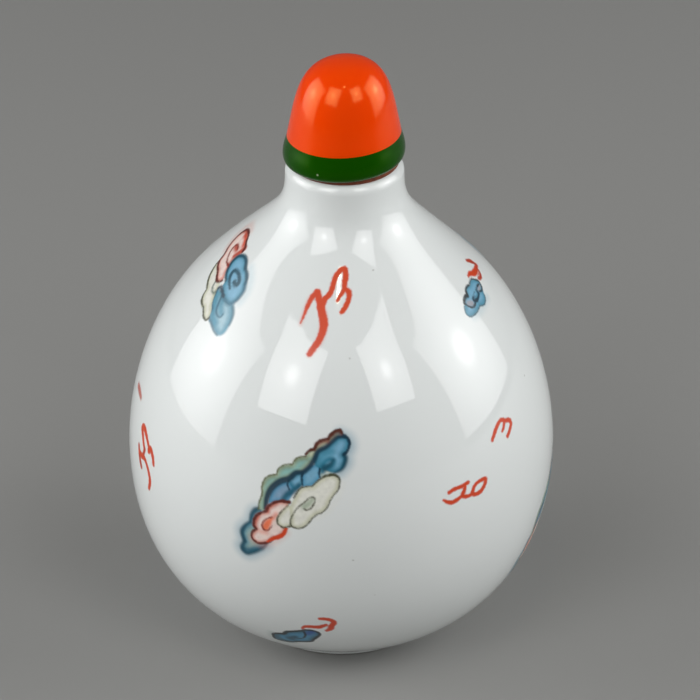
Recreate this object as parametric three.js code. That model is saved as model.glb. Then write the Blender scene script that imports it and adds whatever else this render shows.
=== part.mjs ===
// Glazed porcelain snuff bottle with a two-part stopper on a cork, in millimetres, +Z up.
// The origin is on the bottle's axis, at the surface that its foot ring stands on, and its front faces -Y.

import * as THREE from "three";

// Bottle outside: a foot ring, an egg-shaped body that is widest low down, and a neck that flows out of it
const FOOT_RADIUS = 11.0;
const FOOT_HEIGHT = 0.9;
const FOOT_RISE_ANGLE = 28;
const BELLY_RADIUS = 24.0;
const BELLY_HEIGHT = 22.5;
const SHOULDER_RADIUS = 15.8;
const SHOULDER_HEIGHT = 43.92;
const SHOULDER_ANGLE = 45.9;
const NECK_RADIUS = 6.5;
const LIP_HEIGHT = 57.95;

// How far each curve of the outline carries on in the direction of the place that it leaves or reaches
const FOOT_REACH = 3.7;
const BELLY_REACH_DOWN = 15.4;
const BELLY_REACH_UP = 8.1;
const SHOULDER_REACH_DOWN = 7.2;
const SHOULDER_REACH_UP = 11.0;
const NECK_REACH = 5.1;

// The neck was luted on a little to the right, and the shoulder takes up the step between these two heights
const NECK_OFFSET = 0.42;
const NECK_OFFSET_START = 45;
const NECK_OFFSET_END = 54;

// Foot ring, its rounded edges, and the recess inside it
const FOOT_EDGE = 0.35;
const FOOT_RING_WIDTH = 1.9;
const RECESS_DEPTH = 0.8;

// Lip: rounded outside, flat on top, and eased into the bore
const LIP_ROUND = 1.2;
const BORE_RADIUS = 3.45;
const BORE_EASE = 0.3;
const BORE_LENGTH = 7.0;

// Walls, and the cavity's own curves where it leaves the floor and meets the bore
const WALL = 2.0;
const FLOOR = 2.6;
const FLOOR_RISE_ANGLE = 12;
const FLOOR_REACH = 5.0;
const THROAT_REACH = 3.2;
const THROAT_REACH_OUT = 6.5;

// Stopper: its seams slope up to the right while its sides stand upright, and its cork's head is a wedge
const SEAM_SLOPE = 2.7;
const STOPPER_OFFSET = 0.35;
const CORK_HEAD_RADIUS = 6.0;
const CORK_HEAD_MID = 0.37;
const PLUG_RADIUS = 3.1;
const PLUG_END_RADIUS = 2.75;
const PLUG_LENGTH = 5.4;
const PLUG_CHAMFER = 0.5;
const COLLAR_BOTTOM_RADIUS = 6.1;
const COLLAR_WIDEST_RADIUS = 6.66;
const COLLAR_WIDEST_HEIGHT = 0.95;
const COLLAR_TOP_RADIUS = 6.22;
const COLLAR_HEIGHT = 3.0;
const COLLAR_EDGE_ANGLE = 15;
const COLLAR_EDGE_REACH = 0.45;
const COLLAR_SIDE_REACH = 0.7;
const CAP_SIDE_ANGLE = 11.7;
const CAP_TOP_HEIGHT = 11.63;
const CAP_SIDE_REACH = 4.8;
const CAP_TOP_REACH = 5.05;
const GLUE_GAP = 0.25;

// Steps round the axis
const BOTTLE_SIDES = 56;
const STOPPER_SIDES = 48;
const CORK_SIDES = 32;

const PORCELAIN = { color: "#e3e7e8", roughness: 0.12, metalness: 0 };
const CORAL = { color: "#f5450c", roughness: 0.14, metalness: 0 };
const GREEN = { color: "#17560b", roughness: 0.2, metalness: 0 };
const CORK = { color: "#8a4a1c", roughness: 0.8, metalness: 0 };

// A point of a profile, at a radius and a height
function at(radius, height) {
  return new THREE.Vector2(radius, height);
}

// The point a distance away from another, in a direction given in degrees from the outward radius towards up
function away(point, degrees, distance) {
  const angle = THREE.MathUtils.degToRad(degrees);
  return at(point.x + distance * Math.cos(angle), point.y + distance * Math.sin(angle));
}

function line(from, to) {
  return new THREE.LineCurve(from, to);
}

function bezier(from, leave, arrive, to) {
  return new THREE.CubicBezierCurve(from, leave, arrive, to);
}

// Part of a circle about a centre, between two angles in degrees
function arc(centre, radius, start, end) {
  const [first, last] = [start, end].map(THREE.MathUtils.degToRad);
  return new THREE.EllipseCurve(centre.x, centre.y, radius, radius, first, last);
}

// One run of points along [curve, steps] spans, with the points that neighbouring spans share kept once
function profile(...spans) {
  return spans.flatMap(([curve, steps], index) => curve.getPoints(steps).slice(index === 0 ? 0 : 1));
}

// A profile turned about the vertical axis
function turned(name, points, sides, finish) {
  const geometry = new THREE.LatheGeometry(points, sides);
  geometry.rotateX(Math.PI / 2);
  const mesh = new THREE.Mesh(geometry, new THREE.MeshStandardMaterial(finish));
  mesh.name = name;
  return mesh;
}

// Underside: the recess, then the foot ring from its inner edge to its outer edge
function footSpans() {
  const inner = FOOT_RADIUS - FOOT_RING_WIDTH;
  const rise = at(inner, RECESS_DEPTH);
  const innerEdge = at(inner + FOOT_EDGE, FOOT_EDGE);
  const outerEdge = at(FOOT_RADIUS - FOOT_EDGE, FOOT_EDGE);
  return [
    [line(at(0, RECESS_DEPTH), rise), 1],
    [line(rise, at(inner, FOOT_EDGE)), 1],
    [arc(innerEdge, FOOT_EDGE, 180, 270), 2],
    [line(at(innerEdge.x, 0), at(outerEdge.x, 0)), 1],
    [arc(outerEdge, FOOT_EDGE, -90, 0), 2],
    [line(at(FOOT_RADIUS, FOOT_EDGE), at(FOOT_RADIUS, FOOT_HEIGHT)), 1],
  ];
}

// Outside of the body, from the foot ring over the belly and the shoulder to the lip
function bodySpans() {
  const foot = at(FOOT_RADIUS, FOOT_HEIGHT);
  const belly = at(BELLY_RADIUS, BELLY_HEIGHT);
  const shoulder = at(SHOULDER_RADIUS, SHOULDER_HEIGHT);
  const neck = at(NECK_RADIUS, LIP_HEIGHT - LIP_ROUND);
  const shoulderDown = away(shoulder, -SHOULDER_ANGLE, SHOULDER_REACH_DOWN);
  const inwards = 180 - SHOULDER_ANGLE;
  return [
    [bezier(foot, away(foot, FOOT_RISE_ANGLE, FOOT_REACH), away(belly, -90, BELLY_REACH_DOWN), belly), 10],
    [bezier(belly, away(belly, 90, BELLY_REACH_UP), shoulderDown, shoulder), 8],
    [bezier(shoulder, away(shoulder, inwards, SHOULDER_REACH_UP), away(neck, -90, NECK_REACH), neck), 8],
    [arc(at(NECK_RADIUS - LIP_ROUND, neck.y), LIP_ROUND, 0, 90), 4],
  ];
}

// Inside: the lip's flat top, the bore, and the cavity down to the middle of its floor
function insideSpans() {
  const mouth = at(BORE_RADIUS + BORE_EASE, LIP_HEIGHT);
  const throat = at(BORE_RADIUS, LIP_HEIGHT - BORE_LENGTH);
  const belly = at(BELLY_RADIUS - WALL, BELLY_HEIGHT);
  const shoulder = away(at(SHOULDER_RADIUS, SHOULDER_HEIGHT), 90 - SHOULDER_ANGLE, -WALL);
  const floor = at(FOOT_RADIUS - FOOT_RING_WIDTH, RECESS_DEPTH + FLOOR);
  const inwards = 180 - SHOULDER_ANGLE;
  const scale = belly.x / BELLY_RADIUS;
  const shoulderDown = away(shoulder, -SHOULDER_ANGLE, SHOULDER_REACH_DOWN * scale);
  const bellyUp = away(belly, 90, BELLY_REACH_UP * scale);
  const bellyDown = away(belly, -90, BELLY_REACH_DOWN * scale);
  return [
    [line(at(NECK_RADIUS - LIP_ROUND, LIP_HEIGHT), mouth), 1],
    [arc(at(mouth.x, LIP_HEIGHT - BORE_EASE), BORE_EASE, 90, 180), 2],
    [line(at(BORE_RADIUS, LIP_HEIGHT - BORE_EASE), throat), 1],
    [bezier(throat, away(throat, -90, THROAT_REACH), away(shoulder, inwards, THROAT_REACH_OUT), shoulder), 5],
    [bezier(shoulder, shoulderDown, bellyUp, belly), 5],
    [bezier(belly, bellyDown, away(floor, FLOOR_RISE_ANGLE, FLOOR_REACH), floor), 6],
    [line(floor, at(0, floor.y)), 1],
  ];
}

// Every corner of a mesh moved by a function of its place
function moved(mesh, move) {
  const places = mesh.geometry.attributes.position;
  const place = new THREE.Vector3();
  for (let i = 0; i < places.count; i += 1) {
    move(place.fromBufferAttribute(places, i));
    places.setXYZ(i, place.x, place.y, place.z);
  }
  return mesh;
}

function porcelainBottle() {
  const points = profile(...footSpans(), ...bodySpans(), ...insideSpans());
  return moved(turned("porcelain_bottle", points, BOTTLE_SIDES, PORCELAIN), (place) => {
    place.x += NECK_OFFSET * THREE.MathUtils.smoothstep(place.z, NECK_OFFSET_START, NECK_OFFSET_END);
  });
}

// How far a seam of the stopper rises at a distance to the right of its axis
function seamRise(x) {
  return x * Math.tan(THREE.MathUtils.degToRad(SEAM_SLOPE));
}

// The plug and the head are one cork: its foot is level on the lip, and its top slopes with the collar
function stopperCork() {
  const points = [
    at(0, -PLUG_LENGTH),
    at(PLUG_END_RADIUS - PLUG_CHAMFER, -PLUG_LENGTH),
    at(PLUG_END_RADIUS, PLUG_CHAMFER - PLUG_LENGTH),
    at(PLUG_RADIUS, 0),
    at(CORK_HEAD_RADIUS, 0),
    at(CORK_HEAD_RADIUS, CORK_HEAD_MID),
    at(0, CORK_HEAD_MID),
  ];
  return moved(turned("stopper_cork", points, CORK_SIDES, CORK), (place) => {
    place.z += place.z > CORK_HEAD_MID / 2 ? seamRise(place.x) : 0;
  });
}

// The collar bellies out low on its side, over an eased bottom edge
function stopperCollar() {
  const bottom = at(COLLAR_BOTTOM_RADIUS, GLUE_GAP);
  const widest = at(COLLAR_WIDEST_RADIUS, COLLAR_WIDEST_HEIGHT);
  const top = at(COLLAR_TOP_RADIUS, COLLAR_HEIGHT - GLUE_GAP / 2);
  const edge = away(bottom, COLLAR_EDGE_ANGLE, COLLAR_EDGE_REACH);
  const side = away(top, CAP_SIDE_ANGLE - 90, COLLAR_SIDE_REACH);
  const points = profile(
    [line(at(0, bottom.y), bottom), 1],
    [bezier(bottom, edge, away(widest, -90, COLLAR_EDGE_REACH), widest), 4],
    [bezier(widest, away(widest, 90, COLLAR_SIDE_REACH), side, top), 3],
    [line(top, at(0, top.y)), 1],
  );
  return turned("stopper_collar", points, STOPPER_SIDES, GREEN);
}

// The cap is a blunt cone that rounds over into a flat dome
function stopperCap() {
  const bottom = at(COLLAR_TOP_RADIUS, COLLAR_HEIGHT + GLUE_GAP / 2);
  const top = at(0, CAP_TOP_HEIGHT);
  const points = profile(
    [line(at(0, bottom.y), bottom), 1],
    [bezier(bottom, away(bottom, 90 + CAP_SIDE_ANGLE, CAP_SIDE_REACH), away(top, 0, CAP_TOP_REACH), top), 13],
  );
  return turned("stopper_cap", points, STOPPER_SIDES, CORAL);
}

// The cork on the lip, and the collar and the cap on the cork's head, both skewed along its slope
function stopper() {
  const crown = new THREE.Group();
  for (const piece of [stopperCollar(), stopperCap()]) {
    crown.add(
      moved(piece, (place) => {
        place.z += seamRise(place.x);
      }),
    );
  }
  crown.position.z = CORK_HEAD_MID;
  const whole = new THREE.Group();
  whole.add(stopperCork(), crown);
  whole.position.set(STOPPER_OFFSET, 0, LIP_HEIGHT);
  return whole;
}

const snuffBottle = new THREE.Group();
snuffBottle.add(porcelainBottle(), stopper());

export default snuffBottle;
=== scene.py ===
"""Dresses the porcelain snuff bottle and its coral stopper, and lights them for a studio picture.

Lengths are in millimetres in the classes below, and turned to metres where a mesh or a lamp is made.
The bottle's axis is Z, its front faces -Y, and an azimuth is counted in degrees from the front towards +X.
"""

import logging
import math
from dataclasses import dataclass
from enum import Enum
from typing import Any, Callable, Sequence

import bpy
import numpy as np
from mathutils import Matrix, Vector

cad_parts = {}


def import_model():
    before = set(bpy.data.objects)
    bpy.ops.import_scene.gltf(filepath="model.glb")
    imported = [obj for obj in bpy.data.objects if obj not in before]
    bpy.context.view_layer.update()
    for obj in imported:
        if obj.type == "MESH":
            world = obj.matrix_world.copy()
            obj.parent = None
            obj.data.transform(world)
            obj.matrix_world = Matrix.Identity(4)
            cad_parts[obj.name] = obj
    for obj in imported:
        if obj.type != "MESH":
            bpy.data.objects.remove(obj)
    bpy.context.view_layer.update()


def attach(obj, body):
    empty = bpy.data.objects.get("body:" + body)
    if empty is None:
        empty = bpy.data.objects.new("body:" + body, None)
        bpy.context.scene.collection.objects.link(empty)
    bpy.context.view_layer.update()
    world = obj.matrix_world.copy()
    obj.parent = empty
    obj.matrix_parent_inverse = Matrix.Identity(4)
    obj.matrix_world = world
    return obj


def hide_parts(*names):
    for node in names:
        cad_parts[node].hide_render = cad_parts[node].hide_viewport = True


log = logging.getLogger("snuff_bottle")

MM = 0.001
WASH = "enamel wash"
LINE = "enamel line"
FAR = 1.0
CREASE_ANGLE = 35.0
WELD_DISTANCE = MM / 1000
CURL_STEP_ANGLE = 40.0
CURL_END_SIZE = 0.2
TINY = 1e-6
WHITE = (1.0, 1.0, 1.0, 1.0)

Place = tuple[float, float]
Place3 = tuple[float, float, float]
Colour = tuple[float, float, float, float]
Outline = list[Place]
Tree = bpy.types.NodeTree
Socket = bpy.types.NodeSocket


def linear(hex_colour: str) -> Colour:
    """Turns an sRGB hex colour into linear light.

    Args:
        hex_colour: Six hex digits after a hash sign.

    Returns:
        Red, green, blue and an alpha of one.
    """
    channels = [int(hex_colour[i : i + 2], 16) / 255 for i in (1, 3, 5)]
    red, green, blue = (c / 12.92 if c <= 0.04045 else ((c + 0.055) / 1.055) ** 2.4 for c in channels)
    return red, green, blue, 1.0


def away(start: Place, degrees: float, distance: float) -> Place:
    """Finds the place a distance away from another.

    Args:
        start: Radius and height to start from.
        degrees: Direction, from outwards towards up.
        distance: How far to go.

    Returns:
        The radius and height there.
    """
    angle = math.radians(degrees)
    return start[0] + distance * math.cos(angle), start[1] + distance * math.sin(angle)


def line(start: Place, end: Place) -> Outline:
    """A straight stretch of an outline."""
    return [start, end]


def bezier(start: Place, leave: Place, arrive: Place, end: Place, steps: int) -> Outline:
    """Draws one cubic curve of an outline.

    Args:
        start: Where the curve starts.
        leave: The handle that it leaves towards.
        arrive: The handle that it arrives from.
        end: Where it ends.
        steps: How many straight steps stand for it.

    Returns:
        The places along it, both ends included.
    """
    places = []
    for step in range(steps + 1):
        t = step / steps
        weights = ((1 - t) ** 3, 3 * (1 - t) ** 2 * t, 3 * (1 - t) * t * t, t**3)
        corners = (start, leave, arrive, end)
        places.append(tuple(sum(w * c[axis] for w, c in zip(weights, corners)) for axis in (0, 1)))
    return places


def arc(centre: Place, radius: float, first: float, last: float, steps: int) -> Outline:
    """Draws part of a circle.

    Args:
        centre: Its middle.
        radius: Its radius.
        first: The angle to start at, in degrees.
        last: The angle to end at, in degrees.
        steps: How many straight steps stand for it.

    Returns:
        The places along it, both ends included.
    """
    angles = [math.radians(first + (last - first) * step / steps) for step in range(steps + 1)]
    return [(centre[0] + radius * math.cos(a), centre[1] + radius * math.sin(a)) for a in angles]


def joined(*spans: Outline) -> Outline:
    """Joins stretches of an outline, with each shared end kept once.

    Args:
        *spans: The stretches, in order.

    Returns:
        The whole outline.
    """
    places = list(spans[0])
    for span in spans[1:]:
        places.extend(span[1:])
    return places


def turn_on_axis(name: str, outline: Outline, sides: int) -> bpy.types.Object:
    """Makes a body by drawing its outline from one vertex and spinning it about Z.

    Args:
        name: The piece's name.
        outline: Its half section, from the axis round to the axis.
        sides: Steps of the spin.

    Returns:
        The closed, smooth shaded piece.
    """
    bpy.ops.object.select_all(action="DESELECT")
    bpy.context.tool_settings.mesh_select_mode = (True, False, False)
    bpy.ops.mesh.primitive_plane_add(size=MM)
    piece = bpy.context.object
    piece.name = piece.data.name = name
    bpy.ops.object.mode_set(mode="EDIT")
    bpy.ops.mesh.merge(type="CENTER")
    bpy.ops.transform.translate(value=(outline[0][0] * MM, 0, outline[0][1] * MM))
    for (r0, z0), (r1, z1) in zip(outline, outline[1:]):
        step = ((r1 - r0) * MM, 0, (z1 - z0) * MM)
        bpy.ops.mesh.extrude_region_move(TRANSFORM_OT_translate={"value": step})
    bpy.ops.mesh.select_all(action="SELECT")
    bpy.ops.mesh.spin(steps=sides, angle=math.tau, center=(0, 0, 0), axis=(0, 0, 1))
    bpy.ops.mesh.select_all(action="SELECT")
    bpy.ops.mesh.remove_doubles(threshold=WELD_DISTANCE)
    bpy.ops.mesh.normals_make_consistent(inside=False)
    bpy.ops.object.mode_set(mode="OBJECT")
    bpy.ops.object.shade_smooth_by_angle(angle=math.radians(CREASE_ANGLE))
    return piece


def add_node(tree: Tree, kind: str, settings: dict[str | int, Any], **links: Socket) -> bpy.types.Node:
    """Adds one node with its settings and what feeds it.

    Args:
        tree: The node tree that it goes into.
        kind: The node's type name.
        settings: Attribute names, or socket names or numbers, with their values.
        **links: Socket names, with underscores for spaces, and the output sockets that feed them.

    Returns:
        The new node.
    """
    node = tree.nodes.new(kind)
    for key, value in settings.items():
        if isinstance(key, int) or key in node.inputs:
            node.inputs[key].default_value = value
        else:
            setattr(node, key, value)
    for key, output in links.items():
        socket = int(key[1:]) if key[1:].isdigit() and key[0] == "i" else key.replace("_", " ")
        tree.links.new(output, node.inputs[socket])
    return node


def add_noise(tree: Tree, place: Socket, size: float, detail: float) -> Socket:
    """Adds a noise.

    Args:
        tree: The material's nodes.
        place: The surface's own coordinates.
        size: The size of its grains, in millimetres.
        detail: How many finer layers it has.

    Returns:
        The noise, from 0 to 1.
    """
    grain = {"Scale": 1 / (size * MM), "Detail": detail}
    return add_node(tree, "ShaderNodeTexNoise", grain, Vector=place).outputs["Fac"]


def add_ramp(
    tree: Tree, value: Socket, span: Place, levels: Place = (0.0, 1.0), kind: str = "LINEAR"
) -> Socket:
    """Maps a value from a span to two levels, and holds it at its ends.

    Args:
        tree: The nodes that it goes into.
        value: What is mapped.
        span: The values that give the first and the last level.
        levels: The first and the last level.
        kind: How it goes from one to the other.

    Returns:
        The level.
    """
    ends = {"From Min": span[0], "From Max": span[1], "To Min": levels[0], "To Max": levels[1]}
    settings = {"interpolation_type": kind, **ends}
    return add_node(tree, "ShaderNodeMapRange", settings, Value=value).outputs["Result"]


def add_mix(tree: Tree, share: Socket, first: Colour | Socket, second: Colour | Socket) -> Socket:
    """Mixes two colours.

    Args:
        tree: The material's nodes.
        share: How much of the second there is, from 0 to 1.
        first: The first colour, or the socket that feeds it.
        second: The second colour, or the socket that feeds it.

    Returns:
        The mixed colour.
    """
    settings: dict[str | int, Any] = {"data_type": "RGBA"}
    links = {"i0": share}
    for socket, colour in ((6, first), (7, second)):
        if isinstance(colour, tuple):
            settings[socket] = colour
        else:
            links[f"i{socket}"] = colour
    return add_node(tree, "ShaderNodeMix", settings, **links).outputs[2]


def add_relief(tree: Tree, shader: bpy.types.Node, height: Socket, strength: float, depth: float) -> None:
    """Gives a surface fine relief.

    Args:
        tree: The material's nodes.
        shader: The shader that shows it.
        height: Where the surface is high and low, from 0 to 1.
        strength: How strongly it shows.
        depth: Its depth, in millimetres.
    """
    relief = {"Strength": strength, "Distance": depth * MM}
    bump = add_node(tree, "ShaderNodeBump", relief, Height=height)
    tree.links.new(bump.outputs["Normal"], shader.inputs["Normal"])


def new_material(name: str) -> tuple[bpy.types.Material, Tree, bpy.types.Node]:
    """Starts a material.

    Args:
        name: What its finish is called.

    Returns:
        The material, its nodes and its shader.
    """
    made = bpy.data.materials.new(name)
    made.use_nodes = True
    return made, made.node_tree, made.node_tree.nodes["Principled BSDF"]


@dataclass(frozen=True)
class GlazedPorcelain:
    """High-fired porcelain under a clear feldspathic glaze, dipped and fired to a glassy skin.

    It gives the eye a cool white body and a sharp wet gloss that waves very slightly. The painted enamels
    lie on the glaze, a little drier than it. The foot rim is bare.
    """

    body: str = "#E6EAE9"
    biscuit: str = "#C9BFAE"
    ior: float = 1.58
    gloss: float = 0.04
    enamel_roughness: float = 0.32
    biscuit_roughness: float = 0.6
    line_softness: float = 0.13
    line_raggedness: float = 0.05
    brush_hair: float = 0.35
    brush_noise: Place = (0.25, 0.75)
    mottle_size: float = 0.6
    mottle_noise: Place = (0.3, 0.7)
    mottle_depth: Place = (0.92, 1.06)
    rim_height: float = 0.05
    rim_fade: float = 0.1
    wave_size: float = 9.0
    wave_depth: float = 0.02
    wave_strength: float = 0.05

    def material(self) -> bpy.types.Material:
        """Builds the material."""
        made, tree, shader = new_material("glazed porcelain")
        place = add_node(tree, "ShaderNodeTexCoord", {}).outputs["Object"]
        wash = add_node(tree, "ShaderNodeAttribute", {"attribute_name": WASH})
        line = add_node(tree, "ShaderNodeAttribute", {"attribute_name": LINE})
        drawn, rim = self.drawn(tree, line, place), self.rim(tree, place)
        inked = add_mix(tree, drawn, self.washed(tree, wash, place), line.outputs["Color"])
        colour = add_mix(tree, rim, inked, linear(self.biscuit))
        tree.links.new(colour, shader.inputs["Base Color"])
        thicker = {"operation": "MAXIMUM"}
        enamel = add_node(tree, "ShaderNodeMath", thicker, i0=drawn, i1=wash.outputs["Alpha"])
        dryness = {2: self.gloss, 3: self.enamel_roughness}
        dry = add_node(tree, "ShaderNodeMix", dryness, i0=enamel.outputs["Value"])
        bare = add_node(tree, "ShaderNodeMix", {3: self.biscuit_roughness}, i0=rim, i2=dry.outputs[0])
        tree.links.new(bare.outputs[0], shader.inputs["Roughness"])
        shader.inputs["IOR"].default_value = self.ior
        wave = add_noise(tree, place, self.wave_size, detail=1.0)
        add_relief(tree, shader, wave, self.wave_strength, self.wave_depth)
        return made

    def drawn(self, tree: Tree, line: bpy.types.Node, place: Socket) -> Socket:
        """Finds where the brush lines are, with edges that the brush's hairs leave a little ragged.

        Args:
            tree: The material's nodes.
            line: The lines' colour and the distance to their edge.
            place: The surface's own coordinates.

        Returns:
            One on a line and zero off it.
        """
        ragged = add_noise(tree, place, self.brush_hair, detail=2.0)
        shake = add_ramp(tree, ragged, self.brush_noise, (-self.line_raggedness, self.line_raggedness))
        edge = add_node(tree, "ShaderNodeMath", {"operation": "ADD"}, i0=line.outputs["Alpha"], i1=shake)
        fall = (self.line_softness, -self.line_softness)
        return add_ramp(tree, edge.outputs["Value"], fall, kind="SMOOTHSTEP")

    def washed(self, tree: Tree, wash: bpy.types.Node, place: Socket) -> Socket:
        """Lays the enamel washes over the white body, a little pooled and thinned from spot to spot.

        Args:
            tree: The material's nodes.
            wash: The washes' colour and cover.
            place: The surface's own coordinates.

        Returns:
            The colour with the washes on it.
        """
        mottle = add_noise(tree, place, self.mottle_size, detail=3.0)
        depth = add_ramp(tree, mottle, self.mottle_noise, self.mottle_depth)
        tinted = {"data_type": "RGBA", "blend_type": "MULTIPLY", 0: 1.0}
        colour = add_node(tree, "ShaderNodeMix", tinted, i6=wash.outputs["Color"], i7=depth).outputs[2]
        return add_mix(tree, wash.outputs["Alpha"], linear(self.body), colour)

    def rim(self, tree: Tree, place: Socket) -> Socket:
        """Finds the foot's rim, which the glaze was wiped from.

        Args:
            tree: The material's nodes.
            place: The surface's own coordinates.

        Returns:
            One on the bare rim and zero above it.
        """
        height = add_node(tree, "ShaderNodeSeparateXYZ", {}, Vector=place).outputs["Z"]
        return add_ramp(tree, height, ((self.rim_height + self.rim_fade) * MM, self.rim_height * MM))


@dataclass(frozen=True)
class PolishedGlass:
    """Opaque coloured glass, pressed and fire polished.

    It gives the eye a deep, slightly clouded colour, soft highlights, and a little light that bleeds
    through its skin. A chip is a pale fleck at one place.
    """

    name: str
    colour: str
    roughness: float
    glow: float
    shine: float
    shine_tint: str
    chip_at: Place3 | None = None
    chip_size: float = 0.2
    chip_colour: str = "#C9D6B4"
    ior: float = 1.52
    cloud_size: float = 6.0
    cloud_depth: float = 0.08
    glow_reach: float = 1.0
    glow_share: Place3 = (1.0, 0.3, 0.1)

    def material(self) -> bpy.types.Material:
        """Builds the material."""
        made, tree, shader = new_material(self.name)
        place = add_node(tree, "ShaderNodeTexCoord", {}).outputs["Object"]
        cloud = add_noise(tree, place, self.cloud_size, detail=3.0)
        base = linear(self.colour)[:3]
        depths = (1 - self.cloud_depth, 1 + self.cloud_depth)
        dark, light = ((*(min(1.0, c * depth) for c in base), 1.0) for depth in depths)
        skin = add_mix(tree, cloud, dark, light)
        if self.chip_at is not None:
            spot = {"operation": "DISTANCE", 1: tuple(c * MM for c in self.chip_at)}
            gap = add_node(tree, "ShaderNodeVectorMath", spot, i0=place).outputs["Value"]
            bare = add_ramp(tree, gap, (self.chip_size * MM, self.chip_size * MM / 2))
            skin = add_mix(tree, bare, skin, linear(self.chip_colour))
        tree.links.new(skin, shader.inputs["Base Color"])
        shader.inputs["Roughness"].default_value = self.roughness
        shader.inputs["IOR"].default_value = self.ior
        shader.inputs["Specular IOR Level"].default_value = self.shine
        shader.inputs["Specular Tint"].default_value = linear(self.shine_tint)
        shader.inputs["Subsurface Weight"].default_value = self.glow
        shader.inputs["Subsurface Radius"].default_value = self.glow_share
        shader.inputs["Subsurface Scale"].default_value = self.glow_reach * MM
        return made


@dataclass(frozen=True)
class Cork:
    """Cut natural cork, matt, with fine dark pores, its brown darkened to dark rust with painted shade of
    the narrow gap under the collar.
    """

    # Both colours are cork brown darkened with painted shade of the narrow gap under the collar.
    light: str = "#8C3F16"
    dark: str = "#3C1808"
    roughness: float = 0.6
    pore_size: float = 0.5
    pore_depth: float = 0.1
    pore_strength: float = 0.4

    def material(self) -> bpy.types.Material:
        """Builds the material."""
        made, tree, shader = new_material("shade-darkened cork")
        place = add_node(tree, "ShaderNodeTexCoord", {}).outputs["Object"]
        grain = add_noise(tree, place, self.pore_size, detail=4.0)
        # Mixes the pore colours, whose dark rust is painted shade of the gap under the collar.
        colour = add_mix(tree, grain, linear(self.dark), linear(self.light))
        tree.links.new(colour, shader.inputs["Base Color"])
        shader.inputs["Roughness"].default_value = self.roughness
        add_relief(tree, shader, grain, self.pore_strength, self.pore_depth)
        return made


def brushed(places: Sequence[Place], steps: int = 6) -> np.ndarray:
    """Draws a smooth path through a few places, with a sharp corner where a place is given twice.

    Args:
        places: The places, in millimetres right and up.
        steps: Straight steps between two places.

    Returns:
        The path's points, one row each.
    """
    corners = np.array(places, float)
    path = [corners[0]]
    for i in range(len(corners) - 1):
        start, end = corners[i], corners[i + 1]
        if np.array_equal(start, end):
            continue
        before = corners[i - 1] if i > 0 else start
        after = corners[i + 2] if i + 2 < len(corners) else end
        for step in range(1, steps + 1):
            t = step / steps
            path.append(
                0.5 * (2 * start + (end - before) * t + (2 * before - 5 * start + 4 * end - after) * t**2
                       + (3 * start - before - 3 * end + after) * t**3)
            )
    return np.array(path)


def curl(centre: Place, long: float, short: float, tilt: float, start: float, turn: float) -> list[Place]:
    """Draws a spiral that winds in to a centre, on an oval frame.

    Args:
        centre: Where it ends.
        long: The oval's half length.
        short: Its half width.
        tilt: The direction of its length, in degrees from right towards up.
        start: The angle that the spiral starts at, in degrees of the oval.
        turn: How far it winds, in degrees, and against the clock where it is positive.

    Returns:
        The places along it.
    """
    count = max(4, round(abs(turn) / CURL_STEP_ANGLE))
    lean = math.radians(tilt)
    places = []
    for step in range(count + 1):
        part = step / count
        size, angle = 1 - (1 - CURL_END_SIZE) * part, math.radians(start + turn * part)
        a, b = long * size * math.cos(angle), short * size * math.sin(angle)
        x = centre[0] + a * math.cos(lean) - b * math.sin(lean)
        places.append((x, centre[1] + a * math.sin(lean) + b * math.cos(lean)))
    return places


def blend(value: np.ndarray, low: float, high: float) -> np.ndarray:
    """Rises smoothly from 0 at one value to 1 at another.

    Args:
        value: What is looked up.
        low: Where the rise starts.
        high: Where it ends.

    Returns:
        The height of the rise at each value.
    """
    t = np.clip((value - low) / (high - low), 0, 1)
    return t * t * (3 - 2 * t)


@dataclass
class Sheet:
    """A patch of the glazed surface laid flat, with what is painted on it.

    The wash is a soft colour with its cover. The line is a crisp colour with the distance to the nearest
    brush line's edge in millimetres, which is below zero under the brush.
    """

    spots: np.ndarray
    wash: np.ndarray
    line: np.ndarray

    @classmethod
    def blank(cls, spots: np.ndarray) -> "Sheet":
        """Gives an unpainted sheet.

        Args:
            spots: The places on it, in millimetres right and up.

        Returns:
            The sheet.
        """
        line = np.zeros((len(spots), 4))
        line[:, 3] = FAR
        return cls(spots, np.zeros((len(spots), 4)), line)

    def reach(self, path: np.ndarray) -> tuple[np.ndarray, np.ndarray]:
        """Measures from every spot to a path.

        Args:
            path: The path's points.

        Returns:
            Each spot's distance to the path, and how far along the path its nearest place is, from 0 to 1.
        """
        lengths = np.hypot(*np.diff(path, axis=0).T)
        passed = np.concatenate([[0.0], np.cumsum(lengths)])
        nearest = np.full(len(self.spots), math.inf)
        along = np.zeros(len(self.spots))
        for start, end, length, before in zip(path, path[1:], lengths, passed):
            offset = self.spots - start
            part = np.clip(offset @ (end - start) / max(length, TINY) ** 2, 0, 1)
            gap = np.hypot(*(offset - part[:, None] * (end - start)).T)
            closer = gap < nearest
            nearest[closer] = gap[closer]
            along[closer] = (before + part[closer] * length) / passed[-1]
        return nearest, along

    def inside(self, path: np.ndarray) -> np.ndarray:
        """Tells which spots a closed path goes round.

        Args:
            path: The path's points.

        Returns:
            True for each spot inside it.
        """
        found = np.zeros(len(self.spots), bool)
        x, y = self.spots.T
        for (x0, y0), (x1, y1) in zip(path, np.roll(path, -1, axis=0)):
            crosses = (y0 > y) != (y1 > y)
            rise = y1 - y0 if y1 != y0 else 1.0
            found ^= crosses & (x < (x1 - x0) * (y - y0) / rise + x0)
        return found

    def tint(self, colour: np.ndarray, cover: np.ndarray) -> None:
        """Lays a colour over the wash, as far as it covers each spot.

        Args:
            colour: One colour in linear light, or one for each spot.
            cover: How far it covers each spot, from 0 to 1.
        """
        old = self.wash[:, 3]
        total = cover + old * (1 - cover)
        safe = np.maximum(total, TINY)
        share = (cover / safe)[:, None]
        mixed = self.wash[:, :3] * (1 - share) + colour * share
        self.wash[:, :3] = np.where(total[:, None] > TINY, mixed, colour)
        self.wash[:, 3] = total


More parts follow.
